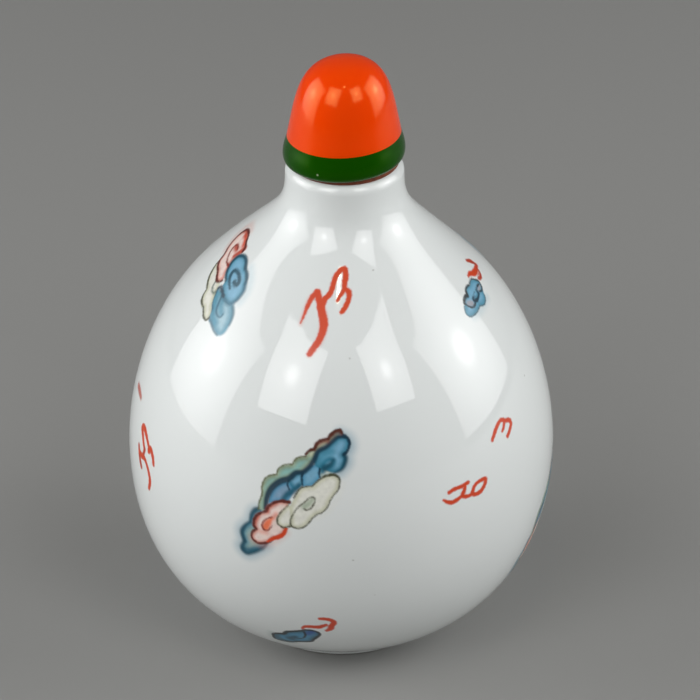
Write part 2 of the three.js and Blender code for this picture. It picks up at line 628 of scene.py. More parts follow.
@dataclass(frozen=True)
class Stroke:
    """A mark along a path, with widths that are spread evenly over its length."""

    colour: str
    places: Sequence[Place]
    widths: Sequence[float]

    def spread(self) -> float:
        """How far the mark reaches from its path."""
        return max(self.widths) / 2

    def edge(self, sheet: Sheet) -> np.ndarray:
        """Measures from every spot to the stroke's edge.

        Args:
            sheet: The sheet that it is drawn on.

        Returns:
            Each spot's distance to the edge, which is below zero inside it.
        """
        gap, along = sheet.reach(brushed(self.places))
        return gap - np.interp(along, np.linspace(0, 1, len(self.widths)), self.widths) / 2


@dataclass(frozen=True)
class Line(Stroke):
    """A crisp brush line."""

    def paint(self, sheet: Sheet) -> None:
        """Draws the line over what is there.

        Args:
            sheet: The sheet that it is drawn on.
        """
        edge = self.edge(sheet)
        over = (edge < np.minimum(sheet.line[:, 3], FAR)) | (edge < 0)
        sheet.line[over, :3] = linear(self.colour)[:3]
        sheet.line[:, 3] = np.minimum(sheet.line[:, 3], edge)


@dataclass(frozen=True)
class Brush(Stroke):
    """A wet stroke whose colour fades at its edges."""

    soft: float = 0.3
    strength: float = 0.9

    def spread(self) -> float:
        """How far the mark reaches from its path."""
        return super().spread() + self.soft

    def paint(self, sheet: Sheet) -> None:
        """Lays the stroke into the wash.

        Args:
            sheet: The sheet that it is laid on.
        """
        cover = self.strength * (1 - blend(self.edge(sheet), -self.soft, self.soft))
        sheet.tint(np.array(linear(self.colour)[:3]), cover)


@dataclass(frozen=True)
class Fill:
    """A filled shape, from one colour at its rim to another in its heart, that hides what lies under it."""

    rim: str
    heart: str
    places: Sequence[Place]
    depth: float = 1.0
    strength: float = 1.0
    soft: float = 0.12

    def spread(self) -> float:
        """How far the mark reaches from its path."""
        return self.soft

    def paint(self, sheet: Sheet) -> None:
        """Fills the shape and clears the lines under it.

        Args:
            sheet: The sheet that it is filled on.
        """
        path = brushed([*self.places, self.places[0]])
        gap, _ = sheet.reach(path)
        edge = np.where(sheet.inside(path), -gap, gap)
        deep = blend(-edge, 0, self.depth)[:, None]
        colour = np.array(linear(self.rim)[:3]) * (1 - deep) + np.array(linear(self.heart)[:3]) * deep
        sheet.tint(colour, self.strength * (1 - blend(edge, -self.soft, self.soft)))
        sheet.line[:, 3] = np.maximum(sheet.line[:, 3], np.minimum(-edge, FAR))


Marks = tuple[Line | Brush | Fill, ...]


def vertex_places(piece: bpy.types.Object) -> np.ndarray:
    """Reads a piece's vertices.

    Args:
        piece: The piece.

    Returns:
        Their places in millimetres, one row each.
    """
    places = np.empty(len(piece.data.vertices) * 3, np.float32)
    piece.data.vertices.foreach_get("co", places)
    return places.reshape(-1, 3).astype(float) / MM


def move_vertices(piece: bpy.types.Object, places: np.ndarray) -> None:
    """Moves a piece's vertices.

    Args:
        piece: The piece.
        places: Where each of them goes, in millimetres.
    """
    piece.data.vertices.foreach_set("co", (places * MM).astype(np.float32).ravel())
    piece.data.update()


@dataclass(frozen=True)
class Motif:
    """A painted figure, and the azimuth and height of its own origin on the body."""

    marks: Marks
    azimuth: float
    height: float
    size: float = 1.0
    mirrored: bool = False


@dataclass
class Skin:
    """The glazed outside of the body, which lays a patch of itself flat for the painter."""

    outline: Outline
    reach: float = 13.0
    samples: int = 4000
    easing: int = 30
    skin_depth: float = 0.3
    end_slack: float = 1e-3
    margin: float = 0.6

    def __post_init__(self) -> None:
        """Works out the radius and the length along the outline at closely spaced heights."""
        radii, heights = np.array(self.outline).T
        self.heights = np.linspace(heights[0], heights[-1], self.samples)
        self.radii = np.interp(self.heights, heights, radii)
        steps = np.hypot(np.diff(self.heights), np.diff(self.radii))
        self.lengths = np.concatenate([[0.0], np.cumsum(steps)])
        window = 2 * self.easing + 1
        slopes = np.pad(np.gradient(self.radii, self.heights), self.easing, "edge")
        self.slopes = np.convolve(slopes, np.full(window, 1 / window), "valid")

    def radius_at(self, height: np.ndarray) -> np.ndarray:
        """Gives the outside's radius at each height."""
        return np.interp(height, self.heights, self.radii)

    def holds(self, places: np.ndarray) -> np.ndarray:
        """Tells which places lie on the outside, and not on the inner wall, the foot ring or the lip.

        Args:
            places: The places, in millimetres.

        Returns:
            True for each place on it.
        """
        reach, height = np.hypot(places[:, 0], places[:, 1]), places[:, 2]
        near = np.abs(reach - self.radius_at(height)) < self.skin_depth
        low, high = self.heights[0] - self.end_slack, self.heights[-1] + self.end_slack
        return near & (height > low) & (height < high)

    def normals_at(self, places: np.ndarray, step_aside: Callable[[np.ndarray], np.ndarray]) -> np.ndarray:
        """Works out the true surface's normals.

        Args:
            places: Places on the surface as it was turned.
            step_aside: How far each height is then moved to the right.

        Returns:
            A unit normal for each place.
        """
        reach = np.maximum(np.hypot(places[:, 0], places[:, 1]), TINY)
        across, deep = places[:, 0] / reach, places[:, 1] / reach
        slope = np.interp(places[:, 2], self.heights, self.slopes)
        half = 0.05
        lean = (step_aside(places[:, 2] + half) - step_aside(places[:, 2] - half)) / (2 * half)
        normals = np.stack([across, deep, -slope - across * lean], axis=1)
        return normals / np.linalg.norm(normals, axis=1, keepdims=True)

    def flatten(self, places: np.ndarray, motif: Motif) -> tuple[np.ndarray, np.ndarray]:
        """Lays the surface round a motif flat.

        Args:
            places: Places on the surface.
            motif: The motif.

        Returns:
            Which places are near it, and those places in the motif's own millimetres, right and up.
        """
        azimuth = np.degrees(np.arctan2(places[:, 0], -places[:, 1]))
        turn = np.radians((azimuth - motif.azimuth + 180) % 360 - 180)
        across = self.radius_at(places[:, 2]) * turn / motif.size
        middle = np.interp(motif.height, self.heights, self.lengths)
        up = (np.interp(places[:, 2], self.heights, self.lengths) - middle) / motif.size
        near = self.holds(places) & (np.hypot(across, up) < self.reach)
        spots = np.stack([-across if motif.mirrored else across, up], axis=1)
        return near, spots[near]

    def under(self, places: np.ndarray, motif: Motif) -> np.ndarray:
        """Tells which places lie under a motif's marks or close to them.

        Args:
            places: The places, in millimetres.
            motif: The motif.

        Returns:
            True for each such place.
        """
        near, spots = self.flatten(places, motif)
        sheet = Sheet.blank(spots)
        found = np.zeros(len(spots), bool)
        for mark in motif.marks:
            path = brushed(mark.places)
            gap, _ = sheet.reach(path)
            found |= gap < mark.spread() + self.margin / motif.size
            if isinstance(mark, Fill):
                found |= sheet.inside(path)
        chosen = np.zeros(len(places), bool)
        chosen[near] = found
        return chosen

    def paint(self, piece: bpy.types.Object, motifs: Sequence[Motif]) -> None:
        """Paints the motifs into the piece's two colour attributes.

        Args:
            piece: The bottle.
            motifs: What is painted on it.
        """
        places = vertex_places(piece)
        whole = Sheet.blank(places[:, :2])
        for motif in motifs:
            near, spots = self.flatten(places, motif)
            sheet = Sheet(spots, whole.wash[near], whole.line[near])
            sheet.line[:, 3] /= motif.size
            for mark in motif.marks:
                mark.paint(sheet)
            sheet.line[:, 3] *= motif.size
            whole.wash[near], whole.line[near] = sheet.wash, sheet.line
        for name, layer in ((WASH, whole.wash), (LINE, whole.line)):
            attribute = piece.data.attributes.new(name, "FLOAT_COLOR", "POINT")
            attribute.data.foreach_set("color", layer.astype(np.float32).ravel())


class Enamel(str, Enum):
    """The painter's colours, as they come out of the kiln."""

    SPECK = "#8E8C86"
    INK = "#0C1B20"
    NIGHT = "#023246"
    TEAL = "#064659"
    PEACOCK = "#0F5A72"
    LAGOON = "#257A94"
    SEA = "#3F8CA6"
    AZURE = "#4A93B8"
    SKY = "#79AFCB"
    MIST = "#A3C6D2"
    HAZE = "#9CB2AC"
    LILAC = "#82A2BC"
    COBALT = "#2A4E9A"
    SLATE = "#35606F"
    SMOKE = "#A9A2A6"
    SAGE = "#9DB096"
    CELADON = "#8ABAB4"
    MOSS = "#5F633C"
    OLIVE = "#44452C"
    BOTTLE = "#3C5A4E"
    STRAW = "#CBCCB2"
    CREAM = "#E6E6DC"
    UMBER = "#54200E"
    RUST = "#5E1B10"
    BRICK = "#852612"
    RED = "#B93815"
    VERMILION = "#D24010"
    CORAL = "#E3704F"
    ORANGE = "#EE7140"
    ROSE = "#D5806E"
    BLUSH = "#EFDAD2"
    PETAL = "#E39A88"


def bank_tail() -> Marks:
    """The bank's teal cloud, at its lower left end."""
    return (
        Brush(Enamel.SEA, [(-4.6, -1.4), (-5.6, -1.9), (-6.1, -3.3), (-7.0, -4.5), (-6.8, -5.9),
            (-7.1, -6.8), (-6.3, -7.5), (-5.2, -6.9), (-4.1, -5.9)], [0.9, 1.2, 1.2], soft=0.8,
            strength=0.5),
        Fill(Enamel.SEA, Enamel.HAZE, [(-4.5, -1.4), (-5.2, -1.5), (-5.8, -2.3), (-6.0, -3.3), (-6.0, -3.3),
            (-6.6, -3.9), (-7.0, -4.8), (-6.7, -5.9), (-6.7, -5.9), (-7.1, -6.7), (-6.8, -7.3),
            (-6.2, -7.5), (-5.3, -7.0), (-4.3, -6.2), (-3.9, -5.4), (-4.5, -3.5)], depth=1.1),
        Brush(Enamel.PEACOCK, [(-6.6, -6.9), (-5.8, -6.9), (-4.6, -6.3)], [0.6, 0.8, 0.5], soft=0.35,
            strength=0.85),
        Brush(Enamel.TEAL, [(-4.6, -1.45), (-5.2, -1.6), (-5.7, -2.3), (-5.9, -3.3)], [0.3, 0.6, 0.5, 0.3],
            soft=0.2, strength=0.9),
        Brush(Enamel.TEAL, [(-5.9, -3.3), (-6.5, -3.9), (-6.9, -4.8), (-6.6, -5.9)], [0.3, 0.55, 0.5],
            soft=0.2, strength=0.95),
        Brush(Enamel.TEAL, [(-6.6, -5.9), (-6.9, -6.7), (-6.7, -7.2), (-6.2, -7.4), (-5.3, -6.9),
            (-4.4, -6.2), (-4.0, -5.6)], [0.4, 0.6, 0.4, 0.3, 0.35], soft=0.2, strength=0.9),
    )


def green_ridge() -> Marks:
    """The sage green ridge along the bank's back."""
    return (
        Fill(Enamel.SAGE, Enamel.CELADON, [(-4.9, -1.5), (-4.9, -0.8), (-4.6, 0.2), (-4.6, 1.2),
            (-4.3, 2.1), (-3.7, 2.6), (-3.0, 2.8), (-3.0, 2.8), (-2.8, 3.5), (-2.2, 4.0), (-1.3, 4.2),
            (-1.3, 4.2), (-1.0, 4.8), (-0.5, 5.1), (0.1, 5.2), (0.1, 5.2), (0.6, 5.9), (1.1, 5.2),
            (0.3, 4.2), (-0.6, 3.2), (-2.4, 2.3), (-3.6, 1.2), (-4.1, -0.2), (-4.2, -1.5)], depth=0.7),
        Line(Enamel.MOSS, [(-4.95, -1.5), (-4.9, -0.8), (-4.6, 0.2), (-4.6, 1.2), (-4.3, 2.1), (-3.7, 2.6),
            (-3.0, 2.8), (-3.0, 2.8), (-2.8, 3.5), (-2.2, 4.0), (-1.3, 4.2), (-1.3, 4.2), (-1.0, 4.8),
            (-0.5, 5.1), (0.1, 5.25)], [0.2, 0.2, 0.15, 0.2]),
        Brush(Enamel.MOSS, [(-4.3, 1.6), (-3.8, 2.3), (-3.2, 2.5)], [0.4], soft=0.3, strength=0.35),
        Brush(Enamel.MOSS, [(-2.6, 3.4), (-2.1, 3.8), (-1.5, 3.9)], [0.4], soft=0.3, strength=0.35),
        Brush(Enamel.MOSS, [(-1.0, 4.6), (-0.4, 4.9), (0.3, 5.0)], [0.4], soft=0.3, strength=0.45),
    )


def red_ridge() -> Marks:
    """The ground of the red ridge at the bank's top."""
    return (
        Fill(Enamel.SAGE, Enamel.STRAW, [(0.1, 5.3), (0.6, 6.0), (1.0, 6.2), (1.5, 6.9), (2.4, 7.3),
            (2.8, 7.9), (3.5, 8.2), (3.7, 7.9), (2.6, 7.0), (1.4, 6.0), (0.8, 5.2)], depth=0.5),
    )


def blue_lobes() -> Marks:
    """The blue lobes in the bank's middle."""
    return (
        Fill(Enamel.AZURE, Enamel.LILAC, [(-3.9, -0.8), (-3.5, 0.8), (-2.7, 1.8), (-1.7, 2.2), (-1.0, 1.4),
            (-1.7, -0.1), (-3.0, -0.3)], depth=0.8),
        Fill(Enamel.LAGOON, Enamel.SKY, [(-1.8, 2.4), (-0.9, 3.2), (-0.1, 3.5), (0.0, 2.2), (-0.9, 1.4)],
            depth=0.7),
        Fill(Enamel.AZURE, Enamel.SKY, [(-0.2, 3.5), (0.8, 4.3), (1.6, 4.4), (1.9, 3.7), (1.7, 2.8),
            (0.9, 2.0), (-0.1, 1.9)], depth=0.7),
        Fill(Enamel.HAZE, Enamel.CREAM, [(1.8, 3.9), (2.6, 3.9), (3.2, 3.5), (2.4, 3.2), (1.8, 2.9)],
            depth=0.5),
        Brush(Enamel.PEACOCK, [(-2.1, 0.2), (-1.7, 0.8), (-1.0, 1.3), (-0.5, 1.9)], [0.6, 0.7, 0.6],
            soft=0.25, strength=0.95),
        Line(Enamel.NIGHT, [(-0.15, 3.4), (-0.2, 2.8), (-0.1, 2.1)], [0.3, 0.2]),
        Line(Enamel.NIGHT, [(1.75, 4.1), (1.65, 3.4), (1.85, 2.8)], [0.25, 0.2]),
        Line(Enamel.NIGHT, [(-1.6, 2.4), (-1.75, 1.9), (-1.5, 1.3)], [0.25, 0.15]),
    )


def head_cloud() -> Marks:
    """The bank's blue head, its curl, and the dark band and red line behind it."""
    return (
        Brush(Enamel.SEA, [(3.6, 7.9), (4.5, 7.4), (4.9, 6.5), (4.6, 5.5), (4.6, 4.6), (3.9, 3.7)],
            [0.9, 1.0], soft=0.8, strength=0.55),
        Fill(Enamel.LAGOON, Enamel.SKY, [(1.0, 4.9), (1.3, 5.8), (2.1, 6.3), (2.8, 6.9), (3.4, 7.5),
            (4.1, 7.6), (4.6, 7.2), (4.7, 6.6), (4.5, 6.0), (4.2, 5.6), (4.2, 5.6), (4.45, 5.2), (4.4, 4.6),
            (4.1, 4.0), (3.5, 3.6), (2.7, 3.7), (1.9, 4.0), (1.2, 4.3)], depth=0.9),
        Brush(Enamel.SEA, [(1.6, 4.8), (2.0, 5.5), (2.8, 5.9)], [0.9, 0.8], soft=0.4, strength=0.8),
        Brush(Enamel.LAGOON, curl((2.7, 4.5), 1.05, 0.7, 50, 180, -330), [0.55, 0.5, 0.6], soft=0.25,
            strength=0.95),
        Brush(Enamel.TEAL, [(2.2, 4.1), (2.7, 4.4), (3.1, 5.0)], [0.7, 0.5, 0.3], soft=0.25, strength=0.9),
        Brush(Enamel.NIGHT, [(-4.15, -1.3), (-4.0, 0.0), (-3.5, 1.2), (-2.6, 2.1), (-1.6, 2.6), (-0.9, 3.3),
            (-0.1, 3.5), (0.6, 4.2), (1.05, 5.0), (1.4, 5.9), (2.2, 6.4), (2.8, 7.0), (3.4, 7.5),
            (4.1, 7.6)], [0.5, 0.7, 0.75, 0.6, 0.6, 0.55, 0.45], soft=0.17, strength=0.97),
        Line(Enamel.NIGHT, [(4.0, 7.65), (4.55, 7.25), (4.7, 6.6), (4.5, 6.0), (4.2, 5.6)], [0.35, 0.3]),
        Brush(Enamel.TEAL, [(4.2, 5.6), (4.4, 5.2), (4.3, 4.6), (4.0, 4.0), (3.3, 3.6)], [0.5, 0.5, 0.2],
            soft=0.2, strength=0.95),
        Line(Enamel.UMBER, [(0.1, 5.45), (0.5, 5.95), (1.0, 6.1), (1.0, 6.1), (1.3, 6.8), (1.8, 7.15),
            (2.4, 7.3), (2.4, 7.3), (2.7, 7.8), (3.1, 8.15), (3.6, 8.25), (3.8, 7.9)],
            [0.3, 0.4, 0.3, 0.4, 0.3]),
        Brush(Enamel.BRICK, [(1.2, 6.6), (1.8, 7.0), (2.3, 7.1)], [0.5], soft=0.25, strength=0.8),
        Brush(Enamel.RUST, [(2.6, 7.5), (3.2, 8.0), (3.6, 8.0)], [0.5], soft=0.25, strength=0.8),
    )


def pink_cloud() -> Marks:
    """The pink cloud, with an orange comma in its heart."""
    return (
        Brush(Enamel.PETAL, [(-5.6, -5.3), (-4.4, -5.8), (-3.0, -5.0), (-1.8, -3.8)], [0.7], soft=0.6,
            strength=0.4),
        Fill(Enamel.ROSE, Enamel.BLUSH, [(-1.6, -0.1), (-2.5, -0.15), (-3.3, -0.5), (-3.9, -1.1),
            (-4.0, -1.6), (-4.0, -1.6), (-4.8, -2.0), (-5.4, -2.8), (-5.5, -3.5), (-5.2, -4.0),
            (-5.2, -4.0), (-5.7, -4.7), (-5.7, -5.3), (-5.1, -5.75), (-4.3, -5.6), (-3.6, -5.2),
            (-3.2, -4.8), (-2.4, -4.4), (-1.8, -3.4), (-2.2, -2.4), (-1.6, -1.0)], depth=0.6),
        Brush(Enamel.PETAL, [(-4.6, -4.2), (-4.0, -4.2)], [0.5], soft=0.35, strength=0.7),
        Brush(Enamel.CORAL, [(-3.2, -2.2), (-2.9, -1.8)], [0.5], soft=0.35, strength=0.7),
        Brush(Enamel.ORANGE, [(-4.1, -3.5), (-3.8, -2.9), (-3.4, -2.3)], [0.9, 0.8, 0.3], soft=0.25,
            strength=0.95),
        Line(Enamel.BRICK, [(-3.4, -2.2), (-4.1, -2.6), (-4.5, -3.3), (-4.3, -3.85), (-3.8, -3.85),
            (-3.35, -3.2)], [0.14, 0.2, 0.2, 0.12]),
        Line(Enamel.RUST, [(-1.5, -0.1), (-2.4, -0.1), (-3.2, -0.45), (-3.8, -1.0), (-4.0, -1.55),
            (-4.0, -1.55), (-4.8, -2.0), (-5.35, -2.7), (-5.5, -3.5), (-5.2, -4.0), (-5.2, -4.0),
            (-5.7, -4.6), (-5.7, -5.2), (-5.1, -5.7), (-4.3, -5.6), (-3.6, -5.2), (-3.2, -4.8)],
            [0.45, 0.35, 0.3, 0.35, 0.35, 0.25, 0.3, 0.35]),
        Line(Enamel.VERMILION, [(-3.9, -5.3), (-3.2, -4.75), (-2.5, -4.4), (-2.0, -3.9), (-1.8, -3.3)],
            [0.3, 0.5, 0.55, 0.4]),
        Brush(Enamel.RED, [(-5.0, -2.4), (-5.3, -3.4)], [0.5], soft=0.3, strength=0.7),
        Brush(Enamel.RED, [(-3.0, -0.5), (-3.7, -1.1), (-3.9, -1.5)], [0.5], soft=0.3, strength=0.6),
    )


def cream_lobe() -> Marks:
    """The small cream lobe between the pink cloud and the big cream one."""
    return (
        Fill(Enamel.STRAW, Enamel.CREAM, [(-1.6, -0.4), (-2.3, -1.3), (-2.8, -2.2), (-2.75, -2.8),
            (-2.1, -3.2), (-1.5, -3.0), (-1.1, -2.8), (-0.9, -1.2)], depth=0.6),
        Line(Enamel.OLIVE, [(-1.5, -0.4), (-2.3, -1.3), (-2.75, -2.2), (-2.7, -2.85), (-2.1, -3.2),
            (-1.5, -3.0), (-1.1, -2.9)], [0.08, 0.2, 0.2, 0.2]),
    )


def cream_cloud() -> Marks:
    """The big cream cloud in front, with its curl."""
    return (
        Brush(Enamel.CREAM, [(1.6, -1.6), (2.8, -0.8), (3.8, 0.9), (4.2, 2.4)], [0.5], soft=0.5,
            strength=0.35),
        Fill(Enamel.STRAW, Enamel.CREAM, [(-1.4, -0.6), (-0.7, 0.9), (-0.3, 1.6), (0.3, 1.9), (1.0, 2.0),
            (1.0, 2.0), (1.5, 2.6), (2.0, 3.0), (2.6, 3.3), (3.3, 3.3), (3.8, 3.0), (3.9, 2.4), (3.7, 1.6),
            (3.3, 1.0), (2.95, 0.4), (2.7, -0.3), (2.2, -0.9), (1.5, -1.3), (1.1, -1.7), (0.7, -2.3),
            (0.1, -2.9), (-0.6, -3.1), (-1.2, -2.9), (-1.3, -2.2)], depth=0.7),
        Brush(Enamel.SAGE, [(0.2, -0.4), (0.6, -0.1), (1.0, 0.4)], [0.7, 0.7, 0.5], soft=0.3,
            strength=0.75),
        Line(Enamel.OLIVE, [(-1.0, 0.5), (-0.6, 1.2), (-0.2, 1.7), (0.3, 1.9), (1.0, 2.0)], [0.2, 0.15]),
        Line(Enamel.OLIVE, [(1.0, 2.0), (1.4, 2.5), (2.0, 3.0), (2.6, 3.3), (3.3, 3.35), (3.8, 3.0),
            (3.9, 2.4), (3.7, 1.6), (3.25, 1.0), (2.95, 0.4), (2.95, 0.4), (2.7, -0.3), (2.2, -0.9),
            (1.5, -1.3), (1.1, -1.7), (1.1, -1.7), (0.7, -2.3), (0.1, -2.9), (-0.6, -3.1), (-1.2, -2.85),
            (-1.3, -2.2), (-1.0, -1.4), (-0.5, -0.6), (0.1, 0.0), (0.7, 0.6), (1.15, 0.75), (1.3, 0.3),
            (1.0, -0.4), (0.5, -0.8), (0.2, -0.7)], [0.15, 0.3, 0.17, 0.15, 0.17, 0.2, 0.17, 0.15, 0.2]),
    )


def bank() -> Marks:
    """A long bank of clouds that overlap each other, dark behind and pale in front."""
    return (*bank_tail(), *green_ridge(), *red_ridge(), *blue_lobes(), *head_cloud(), *pink_cloud(),
        *cream_lobe(), *cream_cloud())


def foot_cloud() -> Marks:
    """The lowest cloud of the stack, pale blue."""
    return (
        Fill(Enamel.SEA, Enamel.MIST, [(-1.6, 3.0), (-1.4, 2.0), (-0.8, 1.3), (-0.2, 0.8), (0.4, -0.1),
            (1.0, -0.3), (2.0, -0.8), (2.9, -1.0), (3.5, -0.5), (3.5, 0.5), (3.3, 1.3), (2.8, 2.1),
            (2.0, 2.8), (0.5, 3.2)], depth=1.3, strength=1.0, soft=0.25),
        Brush(Enamel.SEA, [(-0.9, 2.2), (-0.3, 1.5), (0.3, 0.6), (1.4, 0.0)], [0.9], soft=0.4,
            strength=0.85),
        Brush(Enamel.SEA, [(0.2, 2.6), (0.6, 1.8), (1.4, 1.2)], [0.9, 0.8], soft=0.35, strength=0.85),
        Brush(Enamel.PEACOCK, [(-0.3, 2.8), (0.0, 2.0), (0.4, 1.2), (1.0, 0.8), (1.6, 0.8), (1.7, 1.3)],
            [0.35, 0.3, 0.2], soft=0.15, strength=0.9),
        Brush(Enamel.PEACOCK, [(-1.6, 2.9), (-1.3, 2.0), (-0.8, 1.35), (-0.25, 1.0), (-0.1, 0.4),
            (0.4, -0.1), (1.0, -0.3), (2.0, -0.8), (2.8, -1.0)], [0.4, 0.35, 0.3, 0.3, 0.2], soft=0.15,
            strength=0.85),
        Brush(Enamel.SLATE, [(2.2, 2.5), (2.8, 2.0), (3.2, 1.3), (3.4, 0.6)], [0.35, 0.3, 0.2], soft=0.2,
            strength=0.8),
    )


def olive_cloud() -> Marks:
    """The straw coloured cloud at the left of the stack."""
    return (
        Fill(Enamel.STRAW, Enamel.CREAM, [(-5.5, 4.2), (-5.2, 3.4), (-4.6, 2.6), (-3.8, 2.0), (-3.4, 1.9),
            (-3.2, 1.2), (-2.7, 0.6), (-2.0, 0.2), (-1.6, 0.4), (-1.0, -0.1), (-0.5, -0.4), (0.1, -0.3),
            (-0.1, 0.6), (-0.9, 1.4), (-1.6, 2.6), (-2.2, 3.7), (-4.0, 4.2)], depth=0.7),
        Brush(Enamel.BOTTLE, [(-2.9, 3.3), (-2.7, 2.6), (-2.1, 2.25), (-1.6, 2.4)], [0.25, 0.35], soft=0.15,
            strength=0.85),
        Line(Enamel.OLIVE, [(-5.5, 4.3), (-5.1, 3.3), (-4.5, 2.6), (-3.4, 1.9), (-3.4, 1.9), (-3.2, 1.2),
            (-2.7, 0.6), (-1.7, 0.35), (-1.7, 0.35), (-1.2, 0.0), (-0.6, -0.4), (0.0, -0.4), (0.2, 0.0)],
            [0.2, 0.35, 0.35, 0.2, 0.35, 0.2, 0.3, 0.25]),
    )


def rose_cloud() -> Marks:
    """The rose cloud at the top of the stack."""
    return (
        Brush(Enamel.PETAL, [(-6.3, 5.6), (-7.0, 6.8), (-6.8, 8.2), (-5.8, 9.2), (-4.4, 9.2)], [0.8],
            soft=0.6, strength=0.35),
        Fill(Enamel.ROSE, Enamel.BLUSH, [(-1.9, 4.0), (-2.6, 3.4), (-3.2, 3.5), (-4.0, 4.0), (-4.8, 4.2),
            (-5.4, 4.6), (-5.6, 5.3), (-6.2, 6.1), (-6.5, 7.0), (-6.3, 8.0), (-5.7, 8.7), (-4.9, 8.9),
            (-4.2, 8.8), (-3.5, 8.4), (-2.8, 8.1), (-2.5, 7.5), (-3.0, 6.0), (-2.6, 5.0)], depth=0.65),
        Brush(Enamel.RED, [(-4.6, 7.0), (-3.9, 7.0)], [0.7], soft=0.3, strength=0.9),
        Brush(Enamel.VERMILION, [(-4.9, 8.4), (-4.1, 8.4), (-3.4, 7.9)], [0.6], soft=0.3, strength=0.9),
        Brush(Enamel.RED, [(-3.4, 6.4), (-3.0, 7.2), (-2.7, 7.9)], [0.5, 0.7], soft=0.2, strength=0.9),
        Brush(Enamel.RED, [(-5.9, 8.3), (-5.3, 8.6), (-4.6, 8.6)], [0.4], soft=0.25, strength=0.7),
        Line(Enamel.BRICK, [(-2.8, 5.4), (-3.7, 5.4), (-4.4, 5.8), (-4.9, 6.4), (-4.9, 7.0), (-4.4, 7.3),
            (-3.8, 7.1)], [0.3, 0.3, 0.2]),
        Line(Enamel.RUST, [(-1.9, 3.9), (-2.5, 3.4), (-3.2, 3.5), (-4.0, 4.0), (-4.8, 4.2), (-5.4, 4.6)],
            [0.25, 0.4, 0.35, 0.4]),
        Line(Enamel.RUST, [(-5.4, 4.6), (-5.6, 5.4), (-6.2, 6.1), (-6.5, 7.0), (-6.3, 8.0), (-5.7, 8.7),
            (-4.9, 8.95), (-4.2, 8.85), (-3.6, 8.5), (-3.6, 8.5), (-3.1, 8.2), (-2.7, 8.0), (-2.6, 7.5)],
            [0.35, 0.3, 0.35, 0.35, 0.35]),
    )


def curled_cloud() -> Marks:
    """The blue cloud in front, wound in a spiral."""
    return (
        Brush(Enamel.MIST, [(0.5, 7.0), (1.8, 5.9), (2.6, 4.4), (2.6, 3.2)], [0.8], soft=0.6, strength=0.4),
        Fill(Enamel.SEA, Enamel.SKY, [(-1.3, 3.6), (-1.5, 4.2), (-2.1, 4.6), (-2.7, 5.3), (-2.9, 6.1),
            (-2.7, 6.8), (-2.2, 7.3), (-1.5, 7.5), (-0.8, 7.3), (-0.1, 6.6), (0.6, 6.4), (1.2, 5.9),
            (1.5, 5.4), (2.0, 4.7), (2.1, 4.0), (2.1, 3.3), (1.8, 2.8), (1.3, 2.5), (0.6, 2.6),
            (-0.5, 3.0)], depth=0.9),
        Brush(Enamel.TEAL, curl((-0.1, 4.95), 2.0, 1.0, -28, -30, -400)[1:], [0.3, 0.5, 0.5, 0.6],
            soft=0.15, strength=0.95),
        Brush(Enamel.TEAL, [(-1.4, 4.2), (-2.1, 4.6), (-2.65, 5.3), (-2.85, 6.1), (-2.65, 6.8), (-2.2, 7.2),
            (-1.5, 7.4), (-0.8, 7.2), (-0.1, 6.6)], [0.35, 0.45, 0.45, 0.5, 0.5], soft=0.15, strength=0.97),
        Brush(Enamel.TEAL, [(-0.1, 6.6), (0.6, 6.3), (1.2, 5.8), (1.5, 5.3)], [0.35, 0.5, 0.35], soft=0.15,
            strength=0.95),
        Brush(Enamel.PEACOCK, [(1.5, 5.3), (2.0, 4.6), (2.1, 3.9), (2.05, 3.3), (1.8, 2.8), (1.3, 2.5),
            (0.6, 2.6), (0.0, 2.8)], [0.5, 0.5, 0.45, 0.4], soft=0.22, strength=0.85),
        Brush(Enamel.NIGHT, [(0.0, 2.8), (-0.7, 3.1), (-1.4, 3.3), (-1.7, 2.9)], [0.4, 0.5, 0.3], soft=0.15,
            strength=0.95),
    )


def curled_clouds() -> Marks:
    """Four small clouds in a stack, each curled in on itself."""
    return (*foot_cloud(), *olive_cloud(), *rose_cloud(), *curled_cloud())


def forked_wisp() -> Marks:
    """A tall flame wisp that forks at the top."""
    return (
        Brush(Enamel.CORAL, [(-0.75, 5.5), (-0.2, 4.2), (0.4, 2.3), (0.2, 0.3), (-0.75, -1.4)],
            [0.7, 0.8, 0.9, 0.8, 0.6], soft=0.3, strength=0.45),
        Brush(Enamel.CORAL, [(-0.75, 5.5), (-1.4, 4.7), (-1.8, 3.2), (-2.1, 1.8)], [0.7, 0.5, 0.3],
            soft=0.3, strength=0.4),
        Line(Enamel.VERMILION, [(-0.8, 5.55), (-0.4, 4.6), (0.1, 3.2), (0.42, 2.2), (0.38, 1.2), (0.1, 0.2),
            (-0.3, -0.5), (-0.75, -1.35)], [0.74, 0.81, 0.91, 0.95, 0.81, 0.74, 0.63]),
        Line(Enamel.VERMILION, [(-0.75, 5.5), (-1.25, 4.9), (-1.65, 3.7), (-1.9, 2.6), (-2.1, 1.9)],
            [0.74, 0.54, 0.46, 0.32, 0.15]),
        Line(Enamel.VERMILION, [(-0.05, 3.9), (0.1, 4.8), (0.5, 5.3), (0.75, 6.0), (0.82, 7.0), (1.1, 7.85),
            (1.65, 8.3), (1.95, 7.6), (2.0, 6.7), (2.05, 6.0), (1.75, 5.3), (1.5, 4.75)],
            [0.74, 0.67, 0.63, 0.6, 0.67, 0.67, 0.53, 0.39]),
        Line(Enamel.VERMILION, [(2.1, 6.05), (2.6, 5.7), (2.7, 4.9), (2.5, 4.1), (2.2, 3.5)],
            [0.53, 0.6, 0.63, 0.57]),
    )


